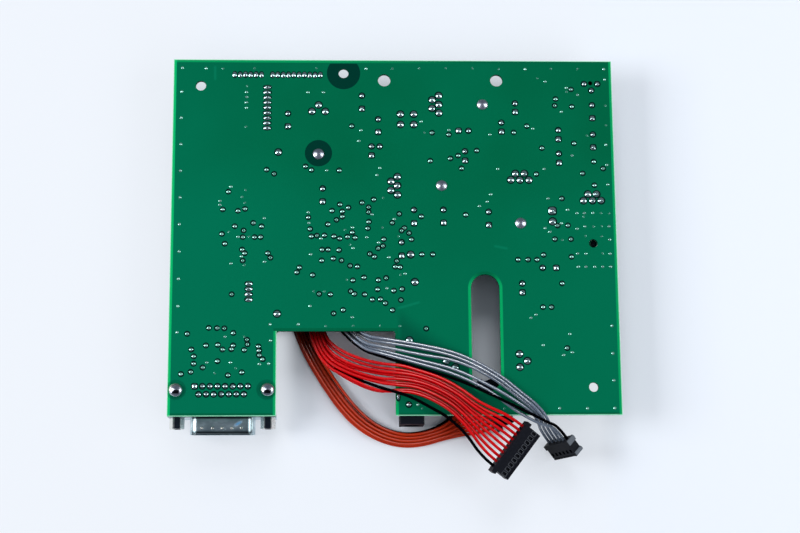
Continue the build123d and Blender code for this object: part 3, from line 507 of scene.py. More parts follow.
# where the fillets of each kind are, from the board's left and rear edges
fillets = {
    "lead": [
        (99.8, 13.6), (97.3, 15.3), (99.8, 17.1), (97.3, 18.7), (99.8, 20.5), (84, 45.3), (81.6, 47.1),
        (84, 48.7), (81.6, 50.6), (84, 52.3), (128.3, 44), (131.7, 44), (126.5, 46.5), (130, 46.5),
        (133.3, 46.5), (155.4, 51.9), (158.7, 51.9), (153.7, 54.4), (157.1, 54.4), (160.4, 54.4), (54.5, 17.5),
        (52, 20), (57, 20), (128.4, 112.4), (131.3, 114.9), (128.5, 117.2), (85.3, 21), (90.3, 21), (85.3, 25),
        (90.3, 25), (39.5, 35.9),
    ],
    "large": [
        (39.5, 97.3), (88.7, 75.1), (90.2, 85.4), (88, 107.2), (101.5, 114.8), (104.8, 117.2),
    ],
    "power": [
        (141.9, 62.4),
    ],
    "powerSquare": [
        (141.9, 58.4),
    ],
    "tall": [(22.9 + 2 * i, 5.7) for i in range(6)] + [(37.1 + 2 * i, 5.7) for i in range(10)],
    "wide": [(35.2, 10.6 + 2 * i) for i in range(9)],
    "wider": [(29, 86 + 2 * i) for i in range(4)],
    "slotted": [
        (83.8, 128.2),
    ],
    "small": [
        (87.6, 130.9), (43, 20.9), (70.8, 13.8), (76.9, 23), (56.1, 49.9), (90.1, 58.1), (101.1, 58),
        (118, 58.8), (158, 17.2), (158, 28.7), (85.4, 70.4), (137.7, 80.1), (74.4, 33.6), (77.4, 33.6),
        (128.7, 16.6), (123.4, 24.2), (144.9, 27), (144.9, 36.2), (109.5, 35.4), (130, 86), (110.9, 27.4),
        (155.2, 8.8), (160.3, 8.8), (157.9, 11.4),
    ] + [(12.6 + 2.75 * i, 124.0) for i in range(7)] + [(11.3 + 2.73 * i, 126.9) for i in range(7)],
    "smallSquare": [
        (43, 25.9), (70.8, 18.9), (76.9, 28), (56.1, 54.9), (90.1, 63.2), (101.1, 63), (118, 63.8), (158, 22.3),
        (158, 33.7), (85.4, 75.5), (142.8, 80.1), (74.4, 37.1), (128.7, 20), (123.4, 27.7), (144.9, 30.6),
        (144.9, 39.8), (109.5, 39), (130, 89.4), (107.2, 27.4), (9.8, 124),
    ],
    "signal": [
        (67, 25.7), (97.2, 28.2), (103.5, 28.9), (150.2, 11), (144.2, 14.8), (150.3, 17.8), (133, 25.5),
        (128, 28), (150.7, 32.2), (138.5, 34.1), (113.9, 35.1), (106.9, 37.1), (104, 38.2), (96.4, 39.1),
        (108.1, 42), (158, 39.3), (161.5, 42), (153.7, 43.9), (158, 48.5), (136.2, 44.2), (145.6, 53.6),
        (143.7, 64), (147.6, 63.9), (142.6, 69.2), (148.6, 69.2), (35.2, 42.7), (49.7, 41.4), (51.9, 42.8),
        (62.2, 42.9), (21.1, 51.2), (19.1, 58), (24.7, 58.5), (27.3, 57.8), (30.4, 63.1), (33.5, 64.4),
        (23.6, 64.4), (18.9, 67.3), (26.6, 68.5), (31, 68.5), (33.2, 68.5), (20, 71), (26.4, 73.2),
        (27.4, 74.6), (35.9, 74.6), (62.5, 56), (65.7, 57.2), (59.6, 58.4), (63.4, 58.7), (63.4, 60.7),
        (58, 63.6), (70.7, 55.3), (75.1, 54.1), (73.3, 62.6), (72.9, 65.1), (50.8, 61), (51.5, 65.4),
        (52, 68.2), (56.8, 67.8), (60.3, 68.2), (62.4, 69), (67.1, 66.7), (65.3, 68.3), (68.1, 68.7),
        (78.8, 69.3), (92.8, 60.6), (109.4, 59.9), (89.1, 69.3), (56, 73.2), (58.1, 73.2), (62.2, 73.4),
        (55.8, 77.3), (60.1, 76.6), (69, 79.6), (47.6, 80), (46.7, 81.8), (52.5, 82.8), (67.3, 84.8),
        (71.4, 83.7), (59, 90.1), (67.9, 89.9), (71.6, 90.1), (76.4, 88.2), (82.4, 88.7), (74.5, 92),
        (77.4, 91.9), (79.3, 93.4), (81.9, 96), (63.7, 95.9), (75.3, 75.9), (83, 79.7), (84.8, 79.8),
        (76.7, 84.7), (92.9, 75), (96.9, 75), (85.5, 88.1), (128.6, 77), (132.4, 77), (135.7, 77),
        (138.2, 75.2), (148.6, 75.9), (144.8, 86), (137.5, 94.9), (140.7, 94.9), (146.1, 110.2), (14.6, 102.5),
        (17.6, 102.6), (23.6, 104.4), (6.8, 104.7), (13.7, 109), (18, 108.8), (19.7, 110.5), (23.6, 109),
        (22.9, 110.4), (27.6, 110.7), (8.4, 110.5), (9.3, 113), (9.3, 115.7), (8.3, 118.7), (4.8, 119.5),
        (32.8, 109.4), (33.1, 110.9), (33, 112.6), (34.4, 114.1), (18, 114.8), (12.6, 117.1), (26.8, 118.9),
        (21.8, 120),
    ],
    "ground": [
        (50.5, 12.5), (56.4, 12.5), (70.4, 27.3), (69.7, 31.5), (93.2, 23.8), (103.6, 27.1), (119, 28.8),
        (140.3, 7.9), (148.4, 10.3), (152.7, 13.1), (146.3, 19.8), (135.2, 26.5), (150, 36.9), (163, 40.6),
        (163, 48.2), (139.3, 42.2), (140.5, 53.6), (147.6, 57.9), (145.2, 63.1), (139, 65), (140.8, 66.4),
        (22, 49.3), (17.9, 54.7), (17.9, 56.2), (34.4, 61.3), (24.8, 68.4), (26.2, 75.8), (22.3, 78.5),
        (34.8, 77.8), (57.5, 42.9), (77.5, 41.9), (76.5, 44.7), (74.4, 59.8), (50.8, 59), (50.9, 63.1),
        (55.5, 69), (67.2, 64.8), (72.4, 68.5), (82.8, 61.6), (121.6, 42.2), (118.9, 52), (117.6, 54.9),
        (114.6, 56.6), (67.4, 72.6), (51.7, 75), (79.7, 87.8), (51.6, 94.4), (67, 98.6), (76.8, 70.5),
        (80.6, 76.1), (86.6, 82.3), (134.9, 97.7), (133.1, 98.9), (147.1, 105), (137.3, 109.1), (147.9, 111.8),
        (144.7, 112.8), (20.5, 105.8), (33.2, 115.9), (14, 115.3), (22.7, 115.3), (27.4, 12.5), (27.4, 14.5),
        (27.4, 16.6), (27.4, 18.7), (151, 59.2), (154, 59.2), (157, 59.1), (154, 64.3), (163.1, 64.3),
        (151, 65.2), (163.1, 69.3), (151, 74.7), (154, 74.7), (163.1, 74.7), (151, 79.7), (154, 79.7),
        (157.1, 79.7), (160.2, 79.7), (163.1, 79.7),
    ],
    "stitch": [
        (102.8, 132.3), (3.15, 3.1), (3.1, 12.4), (3.1, 22.7), (3.1, 32.9), (3.1, 43.2), (3.1, 53.4),
        (3.2, 63.6), (3.2, 73.9), (3.2, 84.2), (3.2, 94.4), (3.2, 104.1), (12.1, 3.2), (72.4, 3.1), (132.85, 3),
        (162.95, 2.9), (163.1, 7), (162.8, 32.7), (162.9, 101.9), (162.9, 112.2), (162.9, 122.2), (163, 132.45),
        (142.8, 132.45), (152.9, 132.45), (36.9, 101.2), (47.3, 101.2), (37.1, 107.2), (36.5, 115.7),
        (90.9, 130.9),
    ],
    "hollow": [
        (73.2, 57.1), (73.2, 58.9), (84.6, 59.6), (86.5, 65), (78.5, 71.8), (73.6, 74.8), (66.5, 88.9),
        (79.6, 83.9), (54.9, 89.9), (54, 67.9), (60.2, 97.2), (94.2, 102.9), (63.1, 77.3), (36.9, 76.3),
        (20.3, 102.7), (143.8, 17.4), (38, 44.3), (26.9, 66), (26.7, 77.4), (61.3, 61.9), (82, 63), (85.4, 66),
        (88.2, 66.9), (66.3, 79.3), (76.7, 72.7), (83.6, 77.5), (85, 92.2), (28.6, 106.9), (28.8, 108.6),
        (22.8, 90),
    ],
    "faint": [
        (92.6, 132.4), (122.5, 132.5), (57.4, 101.9), (67.4, 101.9), (77.4, 101.8), (84.4, 101.9), (53.8, 2.9),
        (30.3, 3.2), (66.2, 71.3), (53, 88.9), (56.7, 89), (85, 82.7), (94.4, 28.1), (137.5, 6.5), (148.4, 12),
        (155.7, 29.2), (145.3, 69.4), (27.5, 50.5), (26.2, 53.2), (27.3, 55.6), (21.5, 66.6), (29, 68.5),
        (27.3, 79), (78.7, 53.5), (64.5, 65.8), (78.2, 64.9), (84.2, 68.2), (65, 84.6), (27.8, 105.7),
        (24.6, 117.5), (17.1, 119.1), (27.4, 10.3), (27.4, 26.2), (160.1, 59.2), (163.1, 59.2), (153.6, 60.6),
        (157.1, 64.4), (160.2, 64.3), (154, 68), (160, 68), (160.2, 74.7), (18.4, 3.2), (82.4, 3), (92.6, 2.9),
        (102.6, 2.9), (112.6, 2.8), (122.6, 3), (142.7, 2.9), (153, 2.9), (163, 17.3), (163.1, 25),
    ],
}
chance = random.Random(solderLook["seed"])
shift, spread = solderLook["shift"], solderLook["spread"]


def roundOff(verts, halfX, halfY, squareness, centre):
    # turns a spun circle of radius one into a rounded rectangle
    for vert in verts:
        x, y = vert.co.x - centre.x, vert.co.y - centre.y
        size = math.hypot(x, y)
        if size:
            reach = (abs(x / size) ** squareness + abs(y / size) ** squareness) ** (-1 / squareness)
            vert.co.x = centre.x + x * halfX * reach
            vert.co.y = centre.y + y * halfY * reach


def templateMesh(profile, halfX, halfY, squareness, steps):
    mesh = bmesh.new()
    latheInto(mesh, profile, Vector((0, 0, 0)), steps)
    roundOff(mesh.verts, halfX, halfY, squareness, Vector((0, 0, 0)))
    data = bpy.data.meshes.new("template")
    mesh.to_mesh(data)
    mesh.free()
    return data


def copyInto(mesh, template, spot, turn=None):
    start = len(mesh.verts)
    mesh.from_mesh(template)
    mesh.verts.ensure_lookup_table()
    fresh = mesh.verts[start:]
    if turn:
        bmesh.ops.rotate(mesh, verts=fresh, cent=(0, 0, 0), matrix=turn)
    bmesh.ops.translate(mesh, verts=fresh, vec=spot)


solderMesh, viaMesh, faintMesh, ringMesh = bmesh.new(), bmesh.new(), bmesh.new(), bmesh.new()
for kind, spots in fillets.items():
    halfX, halfY, height, squareness, ringX, ringY = filletKinds[kind]
    isVia = kind in ("signal", "hollow", "faint", "ground", "stitch")
    profile = solderLook["bead" if kind in ("hollow", "faint") else "dome" if isVia else "cone"]
    profile = [(radius, share * height) for radius, share in profile]
    template = templateMesh(profile, halfX, halfY, squareness, 12 if isVia else 20)
    ring = templateMesh([(0.5, 0), (1, 0)], ringX, ringY, squareness, 20)
    tilt = solderLook["tilt"] * (1.4 if isVia else 0.8)
    for x, y in spots:
        spot = place(x + shift[0] + x * spread[0], y + shift[1] + y * spread[1], topSide / mm)
        lean = Matrix.Rotation(math.radians(chance.uniform(-tilt, tilt)), 3, "X")
        lean = Matrix.Rotation(math.radians(chance.uniform(-tilt, tilt)), 3, "Y") @ lean
        target = faintMesh if kind == "faint" else viaMesh if isVia else solderMesh
        copyInto(target, template, spot - Vector((0, 0, solderLook["sink"] * mm)), lean)
        if ringX:
            copyInto(ringMesh, ring, spot + Vector((0, 0, solderLook["ringLift"] * mm)))
    for data in (template, ring):
        bpy.data.meshes.remove(data)
finishMesh(solderMesh, "solder_fillets", solder, replaces=["solder_joints"])
finishMesh(viaMesh, "vias", viaSolder)
finishMesh(faintMesh, "covered_vias", faintSolder)
finishMesh(ringMesh, "mask_openings", bareRing)
print("solder laid")

stand = boardLow.z / mm
wireLevel = stand - 8.0
harnessLook = {
    "diameter": 1.1,
    "red": srgb(208, 0, 10),
    "grey": srgb(104, 116, 134),
    "orange": srgb(196, 52, 20),
    "black": srgb(4, 4, 7),
    "sheen": {"red": 0.15, "grey": 1.0, "orange": 0.13, "black": 0},
    "shadowStart": 102,
    # where the board's shadow ends, from the rear edge, and the share of the colour left in it
    "shadow": {"clear": 114, "deepest": 0.1},
    "deepShadow": {"clear": 134, "deepest": 0.15},
    "shadedOrange": (2, 3, 4, 5, 6),  # the wires that lie lowest, in the deep shadow
    "shadedSheen": 0.1,
}


def insulationPaint(name, colour, sheen, clear, deepest):
    shine = 0.04 if sheen else 0
    paint = Paint(name, colour, Roughness=0.4, Coat_Weight=sheen, Coat_Roughness=0.25,
                  Specular_IOR_Level=shine)
    shade = paint.noise(90, 3)
    # the board keeps the light off the wires where they come out from under it
    _, _, fromRear, _, height = paint.fromEdges()
    hidden = (1 - paint.between(fromRear, harnessLook["shadowStart"], clear)) * (height < boardLow.z * 1000)
    shown = paint.mix(paint.between(shade, 0.3, 0.75), colour, [c * 0.78 for c in colour])
    paint.feed("Base Color", paint.mix(hidden, shown, [c * deepest for c in colour]))
    paint.feed("Roughness", paint.between(paint.noise(400, 2), 0.3, 0.7) * 0.12 + 0.36)
    paint.bump(paint.noise(500, 2), 0.1, 0.0001)
    return paint


insulation = {
    colour: insulationPaint(colour + "_insulation", harnessLook[colour], sheen, **harnessLook["shadow"])
    for colour, sheen in harnessLook["sheen"].items()
}
insulation["shadedOrange"] = insulationPaint("shaded_orange_insulation", harnessLook["orange"],
                                             harnessLook["shadedSheen"], **harnessLook["deepShadow"])

# Every station gives where the first and the last wire of a bundle pass. A single number shares the
# wires out evenly in that many layers; a list gives each wire's own distance from the first point
# towards the last one, and its height over it.
layerRise = 1.2
redRoute = [
    ((37.1, 5.7, wireLevel), (55.1, 5.7, wireLevel), 1),
    ((37.1, 5.7, 0.9), (55.1, 5.7, 0.9), 1),
    ((40.4, 11.2, 0.9), (54.4, 11.3, 0.9), 1),
    ((46.4, 21.5, 0.8), (53.7, 20.5, 0.8), 2),
    ((45.7, 38, 0.8), (52.1, 38, 0.8), 2),
    ((43.5, 52, 0.8), (49.9, 52, 0.8), 2),
    ((45.4, 71, 1.1), (51.8, 71, 1.1), 2),
    ((48.4, 88, 1.9), (54.6, 88, 1.9), 2),
    ((50.9, 104.2, 4.3), (56.4, 102.9, 4.3),
     [(0.5, -1.2), (0.5, 1.2), (1.2, 0), (1.8, 1.2), (2.5, 0), (3.1, 1.2), (3.7, 0), (4.3, 1.2),
      (4.9, 0), (5.5, 1.2)]),
    ((56.6, 115.9, 8.6), (60.6, 108.6, 8.6),
     [(0.7, -1.3), (0, 1.2), (1.0, 0), (1.6, 1.2), (2.4, 0), (3.0, 1.2), (4.2, 0), (4.9, 1.2),
      (6.6, 0), (7.8, 1.1)]),
    ((65.2, 121.6, 11.6), (69.4, 113.7, 11.6),
     [(1.8, -1.2), (0.8, 1.2), (0.2, 0), (2.3, 1.2), (2.7, 0), (3.6, 1.2), (4.7, 0), (5.6, 1.2),
      (7.4, 0), (8.7, 0.9)]),
    ((76.3, 126.6, 14.3), (78.3, 116.1, 14.3),
     [(1.8, 1.8), (0.3, 1.2), (0, 0), (3.4, 1.2), (4.1, 0), (4.9, 1.2), (6.9, 0), (7.6, 1.2),
      (9.0, 0), (10.5, 0.8)]),
    ((83.3, 127.6, 15.6), (84.9, 116.9, 15.6),
     [(0.7, 2.7), (1.2, 1.2), (1.9, 0), (3.5, 1.2), (4.5, 0), (5.8, 1.2), (6.9, 0), (8.0, 1.2),
      (9.3, 0), (10.9, 0.6)]),
    ((90.0, 127.6, 15.6), (91.0, 118.8, 15.6),
     [(-1.5, 0.9), (0.7, 1.2), (1.8, 0), (2.9, 1.2), (4.0, 0), (4.9, 1.2), (6.0, 0), (6.9, 1.2),
      (7.9, 0), (8.9, 1.1)]),
    ((95.6, 132.3, 15.6), (98.6, 121.1, 15.6),
     [(0, 0.3), (2.9, 1.2), (3.9, 0), (5.0, 1.2), (6.6, 0), (7.4, 1.2), (8.3, 0), (9.3, 1.2),
      (10.4, 0), (11.6, 0.9)]),
    ((102.2, 135.9, 15.6), (106.3, 124.9, 15.6),
     [(0, 0), (2.6, 1.2), (3.6, 0), (4.9, 1.2), (6.2, 0), (7.2, 1.2), (8.2, 0), (9.2, 1.2), (10.3, 0),
      (11.5, 0.8)]),
    ((108.6, 142.0, 15.4), (113.9, 131.0, 15.6),
     [(0, 0), (1.9, 0.9), (3.2, 0), (4.5, 1.0), (5.9, 0), (7.1, 1.0), (8.3, 0), (9.6, 1.1), (10.8, 0),
      (12.2, 0.9)]),
]
greyRoute = [
    ((22.9, 5.7, wireLevel), (32.9, 5.7, wireLevel), 1),
    ((22.9, 5.7, 0.9), (32.9, 5.7, 0.9), 1),
    ((23.6, 10.9, 1.0), (31.8, 10.9, 1.0), 1),
    ((25.0, 20, 1.4), (30.9, 19.5, 1.4), 2),
    ((28.8, 34.5, 3.3), (34.2, 33, 3.3), 2),
    ((34.5, 49, 5.2), (39.4, 46, 5.2), 2),
    ((42.8, 64.5, 5.2), (47.6, 61.5, 5.2), 2),
    ((50.5, 81, 5.0), (55.4, 78.2, 5.0), 2),
    ((59.2, 98.6, 6.6), (64.6, 98.4, 6.6), 2),
    ((70.0, 110.6, 12.4), (72.0, 105.6, 12.4),
     [(0, 0), (0.5, 1.2), (1.4, 0), (2.2, 1.2), (4.2, 0), (5.2, 0.9)]),
    ((78.0, 113.4, 14.6), (79.0, 107.0, 14.6),
     [(0, 0), (0.9, 1.0), (2.1, 0), (3.5, 0.9), (5.3, 0), (6.5, 0.6)]),
    ((91.6, 117.9, 15.3), (92.2, 109.2, 15.3),
     [(0, 0.2), (1.7, 0.3), (3.0, 0), (5.0, 0.5), (7.5, 0), (8.7, 0.4)]),
    ((104.6, 121.6, 15.3), (106.4, 112.6, 15.3),
     [(0, 0.3), (1.7, 0), (3.4, 0.2), (6.7, 0.4), (8.1, 0.2), (9.4, 0.3)]),
    ((117.6, 127.6, 15.3), (120.6, 119.9, 15.3),
     [(0, 1.2), (1.2, 0), (2.9, 0.2), (5.9, 0), (6.9, 1.0), (8.2, 0.3)]),
    ((125.2, 132.2, 15.3), (128.6, 126.6, 15.3),
     [(0.6, 1.7), (-0.3, 0.2), (2.8, 0.2), (4.4, 0), (5.2, 1.1), (6.5, 0.4)]),
    ((131.4, 136.4, 15.6), (134.4, 132.2, 15.6),
     [(1.7, 1.7), (0, 0), (2.6, 0), (3.8, 0.1), (4.5, 1.2), (5.8, 0.2)]),
]
greyTurns = [(138.1, 137.9, 16.4), (136.6, 138.7, 15.0), (135.2, 138.0, 13.6),
             (136.3, 137.5, 13.8), (137.3, 136.9, 14.4), (138.4, 136.4, 14.9)]
greyOrder = [5, 4, 0, 1, 2, 3]
orangeRoute = [
    ((35.2, 10.6, wireLevel), (35.2, 26.6, wireLevel), 1),
    ((35.2, 10.6, 0.8), (35.2, 26.6, 0.8), 2),
    ((40.8, 13.4, 0.8), (37.1, 30.0, 0.8), 2),
    ((43.5, 24.5, 0.7), (36.9, 37, 0.7), 2),
    ((42.0, 44, 0.7), (36.1, 49, 0.7), 2),
    ((42.8, 66, 0.7), (37.6, 69, 0.7), 2),
    ((46.6, 87, 0.7), (41.8, 88.5, 0.7), 2),
    ((50.9, 103.8, 0.7), (46.6, 105.4, 0.7),
     [(0, 0), (0.5, 1.2), (1.2, 0), (1.7, 1.2), (2.4, 0), (2.9, 1.2), (3.5, 0), (4.1, 1.2), (4.7, 0)]),
    ((59.6, 119.0, 0.7), (55.2, 121.0, 0.7),
     [(0, 0), (0.1, 1.2), (1.3, 0), (1.9, 1.2), (2.5, 0), (3.1, 1.2), (3.7, 0), (4.3, 1.2), (4.9, 0)]),
    ((69.9, 132.6, 0.7), (65.6, 136.0, 0.7),
     [(0, 0), (0.1, 1.2), (1.4, 0), (1.9, 1.2), (2.6, 0), (3.2, 1.2), (4.0, 0), (4.5, 1.2), (5.3, 0)]),
    ((79.4, 139.2, 0.7), (77.4, 143.3, 0.7),
     [(0, 0), (0.3, 1.2), (1.2, 0), (1.6, 1.2), (2.4, 0), (2.9, 1.2), (3.6, 0), (4.2, 1.2), (4.8, 0)]),
    ((90.0, 141.2, 0.7), (89.7, 145.1, 0.7),
     [(-0.1, 0), (0.4, 1.2), (1.1, 0), (1.6, 1.2), (2.3, 0), (2.8, 1.2), (3.5, 0), (4.0, 1.2), (4.7, 0)]),
    ((103.2, 136.9, 0.7), (105.4, 141.0, 0.7),
     [(-0.3, 0), (0.7, 1.2), (1.2, 0), (1.9, 1.2), (2.4, 0), (3.1, 1.2), (3.6, 0), (4.3, 1.2), (4.9, 0)]),
]
plugSeats = {  # middle of the wires' face, along the row, out of the face
    "red": (place(123.7, 146.05, 13.5), Vector((0.609, 0.793, 0)), Vector((0.205, -0.158, 0.966))),
    "grey": (place(142.9, 143.9, 7.9), Vector((0.545, 0.075, 0.835)), Vector((-0.6, -0.66, 0.452))),
    "orange": (place(117.5, 130.7, 2.35), Vector((0.38, -0.925, 0)), Vector((0, 0, -1))),
}
plugPitch = 2.0
straightRun = 6.0  # last run of a wire, into its plug
harness = bpy.data.collections.new("harness")


def station(first, last, places, count):
    reach = math.dist(first, last)
    if isinstance(places, int):
        places = [(reach * i / (count - 1), layerRise * (i % places)) for i in range(count)]
    spots = []
    for distance, rise in places:
        x, y, z = [a + (b - a) * distance / reach for a, b in zip(first, last)]
        spots.append(place(x, y, z + rise))
    return spots


def seatEnds(colour, count):
    middle, along, up = plugSeats[colour]
    along = along.normalized()
    back = up.cross(along).normalized()
    last = [middle + along * (i - (count - 1) / 2) * plugPitch * mm for i in range(count)]
    return [[spot + back * straightRun * mm for spot in last], last]


def wire(colour, index, spots, plugs):
    name = f"{colour}_harness_wire_{index + 1}"
    curve = bpy.data.curves.new(name + "_soft", "CURVE")
    curve.dimensions = "3D"
    curve.bevel_depth = 1
    curve.bevel_resolution = 3
    curve.resolution_u = 10
    curve.use_fill_caps = True
    spline = curve.splines.new("NURBS")
    spline.points.add(len(spots) - 1)
    for point, spot in zip(spline.points, spots):
        point.co = (*spot, 1)
        point.radius = harnessLook["diameter"] / 2 * mm  # on a bevel depth of 1, so that the bounds fit too
    spline.order_u = 3
    spline.use_endpoint_u = True
    piece = bpy.data.objects.new(name + "_soft", curve)
    bpy.context.scene.collection.objects.link(piece)
    harness.objects.link(piece)
    look = "black" if index == 0 else colour
    if colour == "orange" and index in harnessLook["shadedOrange"]:
        look = "shadedOrange"
    curve.materials.append(insulation[look].material)
    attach(piece, "root")
    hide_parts(name)
    "black_insulation" if index == 0 else colour + "_insulation"
    sum(spansOf(piece))
    harnessLook["diameter"] * mm
    return piece


def spansOf(piece):
    # the smooth line's spans, read from the curve without its thickness
    depth, piece.data.bevel_depth = piece.data.bevel_depth, 0
    bpy.context.view_layer.update()
    line = bpy.data.meshes.new_from_object(piece.evaluated_get(bpy.context.evaluated_depsgraph_get()))
    ends = [[line.vertices[i].co for i in edge.vertices] for edge in line.edges]
    spans = [(first - last).length for first, last in ends]
    bpy.data.meshes.remove(line)
    piece.data.bevel_depth = depth
    return spans


for colour, route, count, word in (("red", redRoute, 10, "ten"), ("orange", orangeRoute, 9, "nine")):
    stations = [station(*passage, count) for passage in route] + seatEnds(colour, count)
    for i in range(count):
        wire(colour, i, [places[i] for places in stations], [colour + "_plug", word + "_way_plug"])
# the grey harness turns down into its plug, wire by wire; the first two pass over the others
stations = [station(*passage, 6) for passage in greyRoute]
for i, turn in enumerate(greyTurns):
    arrival = [places[greyOrder[i]] for places in seatEnds("grey", 6)]
    spots = [places[i] for places in stations] + [place(*turn)] + arrival
    wire("grey", i, spots, ["grey_plug", "six_way_plug"])
print("harnesses laid")

detailLook = {
    "dimples": [12.6, 16.4, 19.9, 23.5, 26.9],
    "dimpleRow": 139.2,
    "dimpleProfile": [(0, 0.2), (0.2, 0.18), (0.4, 0.08), (0.52, -0.05)],
    "dimpleBase": 2.1,  # over the level that half the stand and half the shell's depth give
    "shellDepth": 8.3,
    "windowSize": (1.15, 1.6),
    "windowLip": (0.22, 0.09),  # width and rise
    "windowSpot": 0.65,  # share of the plug's length from the wires' end
    "lipEdge": 0.03,
}
dimpleMesh = bmesh.new()
dimpleLevel = (stand + detailLook["shellDepth"]) / 2 + detailLook["dimpleBase"]
for x in detailLook["dimples"]:
    latheInto(dimpleMesh, detailLook["dimpleProfile"], place(x, detailLook["dimpleRow"], dimpleLevel), 14)
finishMesh(dimpleMesh, "shell_dimples", tinned)


def windowLips(colour, count, depth, thick):
    # a raised lip round each contact window of a loose plug of this depth and thickness
    middle, along, up = plugSeats[colour]
    along, up = along.normalized(), up.normalized()
    back = up.cross(along)
    mesh = bmesh.new()
    wide, deep = detailLook["windowSize"]
    width, rise = detailLook["windowLip"]
    for i in range(count):
        centre = middle + up * (thick / 2 + rise / 2 - 0.02) * mm
        centre = centre + along * (i - (count - 1) / 2) * plugPitch * mm
        centre = centre - back * depth * detailLook["windowSpot"] * mm
        for across, down, sizeX, sizeY in (
            (-wide / 2 - width / 2, 0, width, deep + width), (wide / 2 + width / 2, 0, width, deep + width),
            (0, -deep / 2 - width / 2, wide, width), (0, deep / 2 + width / 2, wide, width),
        ):
            bar = bmesh.ops.create_cube(mesh, size=1)["verts"]
            turn = Matrix((along * sizeX * mm, back * sizeY * mm, up * rise * mm)).transposed()
            for vert in bar:
                vert.co = turn @ vert.co + centre + along * across * mm + back * down * mm
    bmesh.ops.bevel(mesh, geom=mesh.edges[:], offset=detailLook["lipEdge"] * mm, segments=1, profile=0.5,
                    affect="EDGES", material=-1)
    return finishMesh(mesh, colour + "_plug_lips", lipHighlightPlastic, smooth=False)


# painted light: the grey harness's plug is paler at the end that stands up, which catches the lamp from the
# right
greyPlugLook = {"body": (0.004, 0.005, 0.009), "end": srgb(96, 102, 110), "litEndReach": (6.2, 6.6)}
litEndPlastic = plasticPaint("lit_end_moulding", greyPlugLook["body"], 0.45, shine=0.12)
seat, along, _ = plugSeats["grey"]
along = along.normalized()
reach = [(axis - start * 1000) * share for axis, start, share in zip(litEndPlastic.axes(), seat, along)]
litEnd = litEndPlastic.between(reach[0] + reach[1] + reach[2], *greyPlugLook["litEndReach"])
litEndPlastic.feed("Base Color", litEndPlastic.mix(litEnd, greyPlugLook["body"], greyPlugLook["end"]))
dress(["grey_plug"], litEndPlastic)
# the window lips are a lighter grey than the black plug: a painted highlight on the frames
lipHighlightPlastic = plasticPaint("plug_lip_highlights", srgb(62, 66, 72), 0.4, shine=0.3)
windowLips("red", 10, depth=7.0, thick=4.5)
print("details added")

studio = {
    "table": srgb(232, 238, 247),
    "backdrop": srgb(240, 245, 252),
    # painted light: how much of the backdrop's glow is blended into the floor's shadow: in general, at the
    # left, under the corner hole (its spot, inner and outer radius, and share), and what is left of it at the
    # right edge
    "backdropShare": 0.55,
    "backdropShareLeft": 0.8,
    "underHole": (155.9, 126, 7, 10, 0.75),
    "backdropRight": 0.85,
    "tableSize": 1.6,
    "world": srgb(215, 228, 250),
    "worldStrength": 0.13,
    # place, size, power, and whether shiny parts mirror the lamp or else which collection alone it lights
    "lamps": [
        ((-0.85, 0.02, 0.58), 0.5, 6.4, True),
        ((0.85, 0.02, 0.58), 0.45, 3.4, True),
        ((0.05, 0.95, 0.75), 0.6, 6.0, False),
        ((0.65, -0.6, 0.6), 0.6, 4.0, False),
        ((0.0, 0.0, 1.3), 1.6, 2.2, False),
        ((0.05, 0.42, 1.0), 0.5, 34.0, harness),
    ],
}
table = bmesh.new()
bmesh.ops.create_grid(table, x_segments=1, y_segments=1, size=studio["tableSize"])
tableData = bpy.data.meshes.new("table")
table.to_mesh(tableData)
table.free()
tablePiece = bpy.data.objects.new("table", tableData)
tablePiece.location.z = -0.0002  # just under the lowest piece
bpy.context.scene.collection.objects.link(tablePiece)
tablePaint = Paint("table_top", studio["table"], Roughness=0.6)
fromLeft, fromRight, fromRear, fromFront, _ = tablePaint.fromEdges()
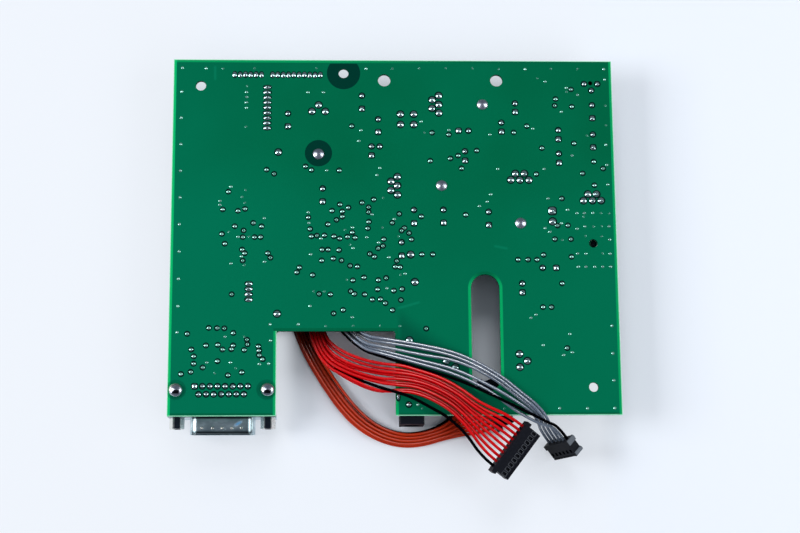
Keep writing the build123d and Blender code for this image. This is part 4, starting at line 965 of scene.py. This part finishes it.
# painted light: the pale backdrop's glow fills most of the shadow beside the left, rear and front edges, less
# where the harnesses cross the front edge
harnessSide = tablePaint.between(fromLeft, 38, 48) * (1 - tablePaint.between(fromLeft, 120, 130))
within = fromLeft.least(fromRear).least(fromFront + harnessSide * 17)
share = 1 - tablePaint.between(within, 0, 14)
leftOfNotch = (1 - tablePaint.between(fromLeft, 39, 49)) * tablePaint.between(fromRear, 98, 106)
leftSide = 1 - tablePaint.between(fromLeft, -2, 20)
moreAtLeft = leftSide * (studio["backdropShareLeft"] - studio["backdropShare"])
share = share.most(leftOfNotch) * (moreAtLeft + studio["backdropShare"])
holeX, holeY, inner, outer, underHole = studio["underHole"]
apart = ((fromLeft - holeX) ** 2 + (fromRear - holeY) ** 2) ** 0.5
share = share.most((1 - tablePaint.between(apart, inner, outer)) * underHole)
share = share * (1 - tablePaint.between(fromRight, 8, -4) * studio["backdropRight"])
backdrop = tablePaint.node("Emission", inputs={"Color": (*studio["backdrop"], 1), "Strength": 1.0})
# rays from the camera, from shiny parts and through clear ones see it
ray = tablePaint.node("LightPath")
rays = ray.socket.node.outputs
glossy, through = Signal(tablePaint, rays["Is Glossy Ray"]), Signal(tablePaint, rays["Is Transmission Ray"])
seen = ray.most(glossy).most(through)
surface = Signal(tablePaint, tablePaint.shader.outputs["BSDF"])
blended = tablePaint.node("MixShader", inputs=[seen * share, surface, backdrop])
tablePaint.tree.links.new(blended.socket, tablePaint.tree.nodes["Material Output"].inputs["Surface"])
tablePaint.material.cycles.emission_sampling = "NONE"
tableData.materials.append(tablePaint.material)

world = bpy.data.worlds.new("studio")
bpy.context.scene.world = world
world.use_nodes = True
world.node_tree.nodes["Background"].inputs["Color"].default_value = (*studio["world"], 1)
world.node_tree.nodes["Background"].inputs["Strength"].default_value = studio["worldStrength"]

for number, (spot, size, power, mirrored) in enumerate(studio["lamps"]):
    lamp = bpy.data.lights.new(f"soft_box_{number}", "AREA")
    lamp.shape = "SQUARE"
    lamp.size = size
    lamp.energy = power
    lampPiece = bpy.data.objects.new(f"soft_box_{number}", lamp)
    lampPiece.location = spot
    lampPiece.rotation_euler = (Vector((0, 0, 0)) - Vector(spot)).to_track_quat("-Z", "Y").to_euler()
    lampPiece.visible_glossy = bool(mirrored)
    if mirrored is harness:
        lampPiece.visible_diffuse = False
        lampPiece.light_linking.receiver_collection = harness
    bpy.context.scene.collection.objects.link(lampPiece)

cameraSet = {"spot": (-0.02002, -0.12292, 0.59529), "turn": (11.066, -2.08, -0.402), "lens": 72.0}
camera = bpy.data.cameras.new("camera")
camera.lens = cameraSet["lens"]
camera.sensor_width = 36
camera.clip_start = 0.01
cameraPiece = bpy.data.objects.new("camera", camera)
cameraPiece.location = cameraSet["spot"]
cameraPiece.rotation_euler = [math.radians(angle) for angle in cameraSet["turn"]]
bpy.context.scene.collection.objects.link(cameraPiece)
bpy.context.scene.camera = cameraPiece
bpy.context.scene.view_settings.view_transform = "Standard"
print("studio ready")
